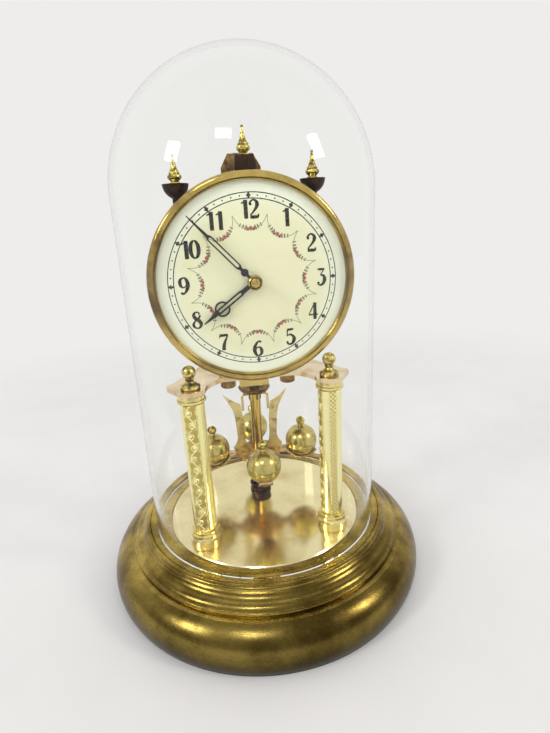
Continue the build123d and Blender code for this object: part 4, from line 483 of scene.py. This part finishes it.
def smoothed(points, steps=7):
    # An even curve through all the points, ends included
    padded = [points[0]] + list(points) + [points[-1]]
    line = []
    for a, b, c, d in zip(padded, padded[1:], padded[2:], padded[3:]):
        for step in range(steps):
            t = step / steps
            line.append(tuple(0.5 * (2 * q + (r - p) * t + (2 * p - 5 * q + 4 * r - s) * t * t
                                     + (3 * q - p - 3 * r + s) * t ** 3)
                              for p, q, r, s in zip(a, b, c, d)))
    return line + [points[-1]]


# Bold upright numerals: strokes of (x, height, width) as shares of the numeral's height, then dots
six = ([[(.46, .93, .07), (.28, .86, .10), (.12, .58, .17), (.10, .34, .19), (.18, .10, .13), (.32, .03, .07),
         (.48, .12, .13), (.52, .30, .17), (.46, .50, .12), (.32, .56, .06), (.18, .46, .06)]],
       [(.46, .88, .07)])
numerals = {
    "0": ([[(.31 + .22 * cos(t), .5 + .46 * sin(t), .06 + .13 * abs(cos(t))) for t in
            [2 * pi * i / 24 for i in range(25)]]], []),
    "1": ([[(.36, 0, .19), (.36, .98, .19)], [(.36, .95, .10), (.26, .86, .07), (.12, .80, .05)]], []),
    "2": ([[(.10, .72, .10), (.12, .84, .09), (.28, .97, .07), (.46, .88, .13), (.50, .74, .18),
            (.44, .56, .14), (.28, .36, .08), (.10, .16, .07)],
           [(.08, .07, .13), (.3, .07, .15), (.5, .08, .12), (.55, .22, .05)]], [(.13, .74, .07)]),
    "3": ([[(.10, .95, .06), (.30, .93, .12), (.52, .95, .07)], [(.50, .94, .05), (.28, .62, .05)],
           [(.28, .60, .06), (.45, .56, .12), (.52, .35, .19), (.42, .10, .13), (.25, .03, .08),
            (.10, .12, .08)]], [(.14, .16, .075)]),
    "4": ([[(.42, 0, .17), (.42, 1, .17)], [(.40, .98, .05), (.06, .30, .05)],
           [(.04, .28, .07), (.60, .28, .07)]], []),
    "5": ([[(.14, .93, .12), (.50, .96, .10)], [(.14, .93, .05), (.12, .55, .05)],
           [(.12, .54, .05), (.30, .64, .08), (.50, .50, .14), (.54, .32, .19), (.44, .10, .13),
            (.26, .03, .08), (.10, .12, .08)]], [(.13, .17, .07)]),
    "6": six,
    "7": ([[(.06, .93, .13), (.3, .92, .14), (.54, .95, .10)], [(.08, .92, .05), (.05, .76, .05)],
           [(.54, .92, .06), (.38, .60, .11), (.28, .30, .17), (.26, .02, .19)]], []),
    "8": ([[(.47, .84, .09), (.40, .95, .07), (.24, .95, .08), (.14, .80, .15), (.22, .62, .18),
            (.42, .46, .19), (.52, .26, .17), (.44, .07, .10), (.30, .03, .07), (.14, .10, .10),
            (.09, .24, .13), (.16, .40, .09), (.34, .54, .06), (.46, .68, .09), (.48, .80, .10)]], []),
    "9": ([[(.62 - x, 1 - z, width) for x, z, width in six[0][0]]], [(.16, .12, .07)]),
}
inks = ["printBlack", "printRose", "printRed", "printGreen", "printVine"]
black, rose, red, green, vine = range(5)
dialPrint = DialPrint()


def drawNumber(text, angle):
    widths = [dial["oneGap"] if digit == "1" else dial["numeralGap"] for digit in text]
    height = dial["numeralHeight"]
    startX = dial["numeralRadius"] * sin(angle) - sum(widths) * height / 2
    startZ = dial["numeralRadius"] * cos(angle) - height / 2
    for digit, width in zip(text, widths):
        strokes, dots = numerals[digit]
        for layer, stroke in enumerate(strokes):
            line = [(startX + x * height, startZ + z * height,
                     w * height * dial["strokeWeight"] + dial["strokeLeast"]) for x, z, w in stroke]
            dialPrint.ribbon(line, black, layer, closed=digit == "0")
        for x, z, radius in dots:
            dialPrint.disc(startX + x * height, startZ + z * height, radius * height, black, 3)
        startX += width * height


def drawRing(radius, width, ink, sides=240):
    turns = [2 * pi * i / sides for i in range(sides + 1)]
    for a, b in zip(turns, turns[1:]):
        inner, outer = radius - width / 2, radius + width / 2
        dialPrint.shape([(inner * cos(a), inner * sin(a)), (outer * cos(a), outer * sin(a)),
                         (outer * cos(b), outer * sin(b)), (inner * cos(b), inner * sin(b))], ink)


for ringRadius in (dial["ringOuter"], dial["ringInner"]):
    drawRing(ringRadius, dial["ringLine"], black)
trackRadius = (dial["ringOuter"] + dial["ringInner"]) / 2
for minute in range(60):
    angle = 2 * pi * minute / 60
    x, z = trackRadius * sin(angle), trackRadius * cos(angle)
    if minute % 5:
        dialPrint.disc(x, z, dial["minuteDot"], black)
    else:
        # Four petals on the track at each hour
        reach = dial["hourMark"]
        for quarter in range(4):
            petal = angle + quarter * pi / 2
            long = reach * (dial["hourMarkAcross"] if quarter % 2 else 1.0)
            wide = reach * dial["hourMarkWide"]
            tip = (x + long * sin(petal), z + long * cos(petal))
            side = (cos(petal) * wide, -sin(petal) * wide)
            middle = (x + long * 0.5 * sin(petal), z + long * 0.5 * cos(petal))
            dialPrint.shape([(x, z), (middle[0] + side[0], middle[1] + side[1]), tip,
                             (middle[0] - side[0], middle[1] - side[1])], black, quarter)
for hour in range(1, 13):
    drawNumber(str(hour), 2 * pi * hour / 12)

# Swags: a vine that rises to a cusp at each half hour, thick with leaves round a few small roses at the hour
swag = dict(rose=26.9, vineWidth=0.26, leafLong=1.5, leafWide=0.85, leafStep=1.35, leafFrom=3.2, leafTo=12.2,
            leafStand=0.72, leafLarge=1.1, leafTaper=0.5, leafClimb=75, leafSettle=5, leafTurns=(52, -58),
            petal=0.42, petalReach=0.5, heart=0.46, outline=0.12,
            # half a swag: (degrees from the hour, radius in millimetres), and blooms: (across, up, size)
            path=[(15, 34.6), (13.6, 31.6), (11.2, 29.3), (7.6, 27.9), (4, 27.1), (0, 26.8)],
            blooms=[(-2.1, 0.3, 0.75), (0, 0, 1.2), (2.1, 0.3, 0.75)])


def polar(degreesFromTop, radius, middle):
    angle = radians(degreesFromTop + middle)
    return radius * sin(angle), radius * cos(angle)


def leaf(x, z, turn, size, ink):
    long, wide = swag["leafLong"] * size, swag["leafWide"] * size
    ahead, aside = (sin(turn), cos(turn)), (cos(turn), -sin(turn))
    rim = [(-0.5, 0), (-0.2, 0.42), (0.15, 0.5), (0.5, 0), (0.15, -0.5), (-0.2, -0.42)]  # shares of its size
    dialPrint.shape([(x + a * long * ahead[0] + b * wide * aside[0],
                      z + a * long * ahead[1] + b * wide * aside[1]) for a, b in reversed(rim)], ink, 1)


def vineRadius(degrees):
    return float(np.interp(degrees, *zip(*reversed(swag["path"]))))


for hour in range(12):
    middle = 30 * hour
    for way in (-1, 1):
        path = [polar(way * degrees, radius, middle) + (swag["vineWidth"],)
                for degrees, radius in swag["path"]]
        dialPrint.ribbon(path, vine)
        degrees, count = swag["leafFrom"], 0
        while degrees < swag["leafTo"]:
            stand = swag["leafStand"] * (1 if count % 2 else -1)
            x, z = polar(way * degrees, vineRadius(degrees) + stand, middle)
            share = (degrees - swag["leafFrom"]) / (swag["leafTo"] - swag["leafFrom"])
            climb = swag["leafClimb"] - swag["leafSettle"] * degrees
            turn = radians(middle + way * (climb + swag["leafTurns"][count % 2]))
            leaf(x, z, turn, swag["leafLarge"] - swag["leafTaper"] * share, (green, vine, green)[count % 3])
            degrees += swag["leafStep"]
            count += 1
    for across, up, size in swag["blooms"]:
        x, z = polar(0, swag["rose"] + up, middle)
        x += across * cos(radians(middle))
        z -= across * sin(radians(middle))
        for petal in range(5):
            turn = 2 * pi * petal / 5 + hour
            px = x + swag["petalReach"] * size * sin(turn)
            pz = z + swag["petalReach"] * size * cos(turn)
            dialPrint.disc(px, pz, swag["petal"] * size + swag["outline"], vine, 2, 8)
            dialPrint.disc(px, pz, swag["petal"] * size, rose, 3, 8)
        dialPrint.disc(x, z, swag["heart"] * size, red, 4, 8)
dialFace = meshObject("dialPrinting", dialPrint.vertices, dialPrint.faces,
                      [finishes[ink] for ink in inks], dialPrint.inks)
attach(dialFace, bodyOf["dial"])
print("dial printed:", len(dialPrint.faces), "shapes")

# Embossed column tubes: a scrolling vine and a band of fine work, each between smooth polished stripes
tubesLow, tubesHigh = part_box("column_tubes")  # the two tubes together
tubeRadius = 6.65  # given, because the box of a faceted tube is a hair narrower
column = dict(spread=tubesHigh.x / mm - tubeRadius, forward=-(tubesLow.y + tubesHigh.y) / 2 / mm,
              bottom=tubesLow.z / mm, top=tubesHigh.z / mm, radius=tubeRadius, wall=0.9,
              around=400, along=1000, depth=0.34, plainShare=0.9, rimFade=1.2, stripeFade=0.3,
              border=0.16, borderInset=0.25,
              # (degrees round the tube, kind), run through twice, and where each tube's first band starts
              bands=[(72, "vine"), (35, "plain"), (38, "fine"), (35, "plain")], startLeft=-51, startRight=55)
# The scrolling vine, in millimetres and shares of the band's width, and the close trellis of the fine bands.
# Both are a little coarser than real embossing, so that they show
scroll = dict(period=13.6, swing=1.9, stem=0.40, stemSlope=0.85, hollowShift=0.28, curl=2.6, coil=1.6,
              coilGain=1.5, coilCut=0.35, curlFade=0.12, rosette=1.05, petalDeep=0.22, ringGap=0.62,
              ringDeep=0.28, rosetteFade=0.08, leafLong=0.95, leafWide=0.34, leafAside=0.36, leafUp=0.17,
              edgeLeafLong=1.5, edgeLeafWide=0.26, edgeLeafAside=0.41, edgeLeafBow=0.14)
trellis = dict(mesh=2.5, lineShare=0.7, lineSharp=8)


def ridge(distance, width):
    return np.exp(-(distance / width) ** 2)


def bandBorder(x, width):
    return ridge(np.abs(x) - width / 2 + column["borderInset"], column["border"])


def vineHeight(x, v, width):
    # x runs across the band and v up the tube in millimetres; the result is 0 in the ground, 1 on top
    period = scroll["period"]
    stemOff = x - scroll["swing"] * np.sin(2 * pi * v / period)
    height = ridge(stemOff * scroll["stemSlope"], scroll["stem"])
    for way, shift in ((-1, 0.25), (1, 0.75)):
        # A branch coils up in each hollow of the stem, round a small rosette
        dv = (v / period - shift - np.round(v / period - shift)) * period
        dx = (x + way * scroll["swing"] * scroll["hollowShift"]) * way
        reach, turn = np.sqrt(dx * dx + dv * dv), np.arctan2(dv, dx)
        rim = 1 / (1 + np.exp((reach - scroll["curl"]) / scroll["curlFade"]))
        wave = np.cos(turn + 2 * pi * reach / scroll["coil"])
        coil = np.clip(wave * scroll["coilGain"] - scroll["coilCut"], 0, 1) * rim
        petals = scroll["rosette"] * (1 - scroll["petalDeep"] + scroll["petalDeep"] * np.cos(5 * turn))
        rings = 1 - scroll["ringDeep"] + scroll["ringDeep"] * np.cos(2 * pi * reach / scroll["ringGap"])
        rosette = 1 / (1 + np.exp((reach - petals) / scroll["rosetteFade"])) * rings
        height = np.maximum(height, np.maximum(coil, rosette))
        # Pairs of slanting leaves in the corners between the coils and the edge of the band
        for lean in (-1, 1):
            lx, lv = x * way + width * scroll["leafAside"], dv - lean * period * scroll["leafUp"]
            along, across = 0.62 * lx + lean * 0.78 * lv, 0.78 * lx - lean * 0.62 * lv
            slanting = ridge(along, scroll["leafLong"]) * ridge(across, scroll["leafWide"])
            height = np.maximum(height, slanting)
        # One bowed leaf along the edge, beside each coil
        lx = x * way - width * scroll["edgeLeafAside"] - scroll["edgeLeafBow"] * dv ** 2
        bowed = ridge(dv, scroll["edgeLeafLong"]) * ridge(lx, scroll["edgeLeafWide"])
        height = np.maximum(height, bowed)
    return np.clip(np.maximum(height, bandBorder(x, width)), 0, 1)


def fineHeight(x, v, width):
    # Crossing lines, with a dot in each mesh of the net
    mesh, sharp = trellis["mesh"], trellis["lineSharp"]
    net = np.maximum(np.cos(pi * (v + x) / mesh) ** sharp, np.cos(pi * (v - x) / mesh) ** sharp)
    dots = np.clip(np.cos(2 * pi * v / mesh) * np.cos(2 * pi * x / mesh), 0, 1) ** 2
    return np.clip(np.maximum(np.maximum(trellis["lineShare"] * net, dots), bandBorder(x, width)), 0, 1)


def embossedTube(name, centreX, start):
    turns = np.linspace(0, 2 * pi, column["around"], endpoint=False)
    levels = np.linspace(column["bottom"], column["top"], column["along"])
    turn, level = np.meshgrid(turns, levels)
    height = np.zeros_like(turn)
    for span, kind in column["bands"] * 2:
        offset = (np.degrees(turn) - start) % 360
        width = radians(span) * column["radius"]
        x = (offset / span - 0.5) * width
        if kind == "plain":
            fade = np.clip((width / 2 - np.abs(x)) / column["stripeFade"], 0, 1)
            band = np.sqrt(fade) * column["plainShare"]
        else:
            band = (fineHeight if kind == "fine" else vineHeight)(x, level, width)
        height = np.where(offset < span, band, height)
        start += span
    rim = np.minimum(level - column["bottom"], column["top"] - level)
    height = height * np.clip(rim / column["rimFade"], 0, 1)
    radius = column["radius"] - column["depth"] + column["depth"] * height
    x = centreX + radius * np.sin(turn)
    y = -column["forward"] - radius * np.cos(turn)
    outer = np.stack([x, y, level], axis=-1).reshape(-1, 3)
    innerRadius = column["radius"] - column["wall"]
    innerX = centreX + innerRadius * np.sin(turns)
    innerY = -column["forward"] - innerRadius * np.cos(turns)
    ends = [np.stack([innerX, innerY, np.full_like(turns, z)], axis=-1)
            for z in (column["bottom"], column["top"])]
    vertices = np.concatenate([outer] + ends) * mm
    n, rows = column["around"], column["along"]
    faces = []
    for row in range(rows - 1):
        base = row * n
        faces += [(base + i, base + (i + 1) % n, base + n + (i + 1) % n, base + n + i) for i in range(n)]
    low, high = rows * n, rows * n + n
    last = (rows - 1) * n
    for i in range(n):
        j = (i + 1) % n
        faces.append((low + i, low + j, j, i))
        faces.append((last + i, last + j, high + j, high + i))
        faces.append((high + i, high + j, low + j, low + i))
    tube = meshObject(name, vertices.tolist(), faces, [finishes["embossedBrass"]], smooth=True)
    relief = tube.data.attributes.new("reliefHeight", "FLOAT", "POINT")
    relief.data.foreach_set("value", np.concatenate([height.reshape(-1), np.full(2 * n, 0.5)]))
    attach(tube, bodyOf["column_tubes"])
    return tube


leftTube = embossedTube("embossedTubeLeft", -column["spread"], column["startLeft"])
rightTube = embossedTube("embossedTubeRight", column["spread"], column["startRight"])
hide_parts("column_tubes")
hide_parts("column_tubes")
print("columns embossed")

# Stage, in metres: a pale floor that fades into an even backdrop of nearly the same colour
stage = dict(backdrop="#efedec", floor="#e6e4e3", half=2.4, patch=60, roughness=0.55,
             fadeStart=0.34, fadeEnd=0.75, backdropStrength=1.0)


def makeFloor(look):
    material = startMaterial("paleFloor")
    place = addNode(material, "TexCoord")
    grain = addNode(material, "TexNoise", {"Scale": perMetre(look["patch"]), "Detail": 3.0},
                    {"Vector": place.outputs["Object"]})
    tone = addNode(material, "Mix", {6: linear(look["floor"]), 7: linear(look["backdrop"])},
                   {0: grain.outputs["Fac"]}, data_type="RGBA")
    lit = addNode(material, "BsdfPrincipled", {"Roughness": look["roughness"]},
                  {"Base Color": tone.outputs[2]})
    even = addNode(material, "Emission", {"Color": linear(look["backdrop"]),
                                          "Strength": look["backdropStrength"]})
    reach = addNode(material, "VectorMath", {}, {0: place.outputs["Object"]}, operation="LENGTH")
    far = addNode(material, "MapRange", fromTo(look["fadeStart"], look["fadeEnd"]),
                  {"Value": reach.outputs["Value"]}, interpolation_type="SMOOTHSTEP")
    ray = addNode(material, "LightPath")
    seen = addNode(material, "Math", {}, {0: ray.outputs["Is Camera Ray"], 1: ray.outputs["Is Glossy Ray"]},
                   operation="ADD")
    seenAll = addNode(material, "Math", {}, {0: seen.outputs[0], 1: ray.outputs["Is Transmission Ray"]},
                      operation="ADD", use_clamp=True)
    fade = addNode(material, "Math", {}, {0: seenAll.outputs[0], 1: far.outputs["Result"]},
                   operation="MULTIPLY")
    both = addNode(material, "MixShader", {}, {0: fade.outputs[0], 1: lit.outputs[0], 2: even.outputs[0]})
    addNode(material, "OutputMaterial", {}, {"Surface": both.outputs[0]})
    return material


corners = [(x * stage["half"], y * stage["half"], 0) for x, y in ((-1, -1), (1, -1), (1, 1), (-1, 1))]
floor = meshObject("floor", corners, [(0, 1, 2, 3)], [makeFloor(stage)])

# The room: an even backdrop all round. Reflections find it dimmer in front, so that metal keeps its depth
room = dict(ambient="#f8f8f8", ambientStrength=0.85, dim="#77726a", dimUpTo=-0.10, paleFrom=0.60)
world = bpy.data.worlds.new("studioRoom")
bpy.context.scene.world = world
world.use_nodes = True
world.node_tree.nodes.clear()
direction = addNode(world, "TexCoord")
parts = addNode(world, "SeparateXYZ", {}, {0: direction.outputs["Generated"]})
worldRay = addNode(world, "LightPath")
behind = addNode(world, "MapRange", fromTo(room["dimUpTo"], room["paleFrom"]),
                 {"Value": parts.outputs["Y"]}, interpolation_type="SMOOTHSTEP")
seenStraight = addNode(world, "Math", {}, {0: worldRay.outputs["Is Camera Ray"],
                                           1: worldRay.outputs["Is Transmission Ray"]}, operation="ADD")
pale = addNode(world, "Math", {}, {0: behind.outputs["Result"], 1: seenStraight.outputs[0]},
               operation="ADD", use_clamp=True)
shownColour = addNode(world, "Mix", {6: linear(room["dim"]), 7: linear(stage["backdrop"])},
                      {0: pale.outputs[0]}, data_type="RGBA")
shown = addNode(world, "Background", {"Strength": stage["backdropStrength"]},
                {"Color": shownColour.outputs[2]})
lightOnly = addNode(world, "Background", {"Color": linear(room["ambient"]),
                                          "Strength": room["ambientStrength"]})
seen = addNode(world, "Math", {}, {0: seenStraight.outputs[0], 1: worldRay.outputs["Is Glossy Ray"]},
               operation="ADD", use_clamp=True)
roomMix = addNode(world, "MixShader", {}, {0: seen.outputs[0], 1: lightOnly.outputs[0], 2: shown.outputs[0]})
addNode(world, "OutputWorld", {}, {"Surface": roomMix.outputs[0]})

# Soft boxes: place and aim in metres, width and height in metres, power in watts
softBoxes = {
    "leftBox": dict(place=(-1.65, -0.75, 1.2), aim=(0, 0, 0.13), size=(0.35, 0.45), power=9,
                    colour="#ffffff"),
    "frontBox": dict(place=(-0.42, -1.10, 1.30), aim=(0, 0, 0.1), size=(0.32, 0.20), power=2.2,
                     colour="#ffffff"),
    "rightBox": dict(place=(1.25, -0.7, 0.95), aim=(0, 0, 0.12), size=(0.24, 0.42), power=4.5,
                     colour="#fffaf2"),
}
for name, box in softBoxes.items():
    lamp = bpy.data.lights.new(name, "AREA")
    lamp.shape = "RECTANGLE"
    lamp.size, lamp.size_y = box["size"]
    lamp.energy = box["power"]
    lamp.color = linear(box["colour"])[:3]
    holder = bpy.data.objects.new(name, lamp)
    bpy.context.scene.collection.objects.link(holder)
    aimed = (Vector(box["aim"]) - Vector(box["place"])).to_track_quat("-Z", "Y")
    holder.matrix_world = Matrix.Translation(box["place"]) @ aimed.to_matrix().to_4x4()

# Camera at the photograph's viewing angle: its place in millimetres, its turns in radians
view = dict(place=(-26.390, -270.131, 215.832), yaw=0.141414528, pitch=0.305394630, roll=-0.0534567,
            lens=22.955, nearest=10)
ahead = Vector((sin(view["yaw"]) * cos(view["pitch"]), cos(view["yaw"]) * cos(view["pitch"]),
                -sin(view["pitch"])))
level = Vector((cos(view["yaw"]), -sin(view["yaw"]), 0))
upward = level.cross(ahead)
side = cos(view["roll"]) * level + sin(view["roll"]) * upward
top = -sin(view["roll"]) * level + cos(view["roll"]) * upward
lens = bpy.data.cameras.new("viewpoint")
lens.lens = view["lens"]
lens.clip_start = view["nearest"] * mm
camera = bpy.data.objects.new("viewpoint", lens)
bpy.context.scene.collection.objects.link(camera)
turned = Matrix((side, top, -ahead)).transposed().to_4x4()
camera.matrix_world = Matrix.Translation(Vector(view["place"]) * mm) @ turned
bpy.context.scene.camera = camera
bpy.context.scene.view_settings.view_transform = "Standard"
print("stage, light and camera set")
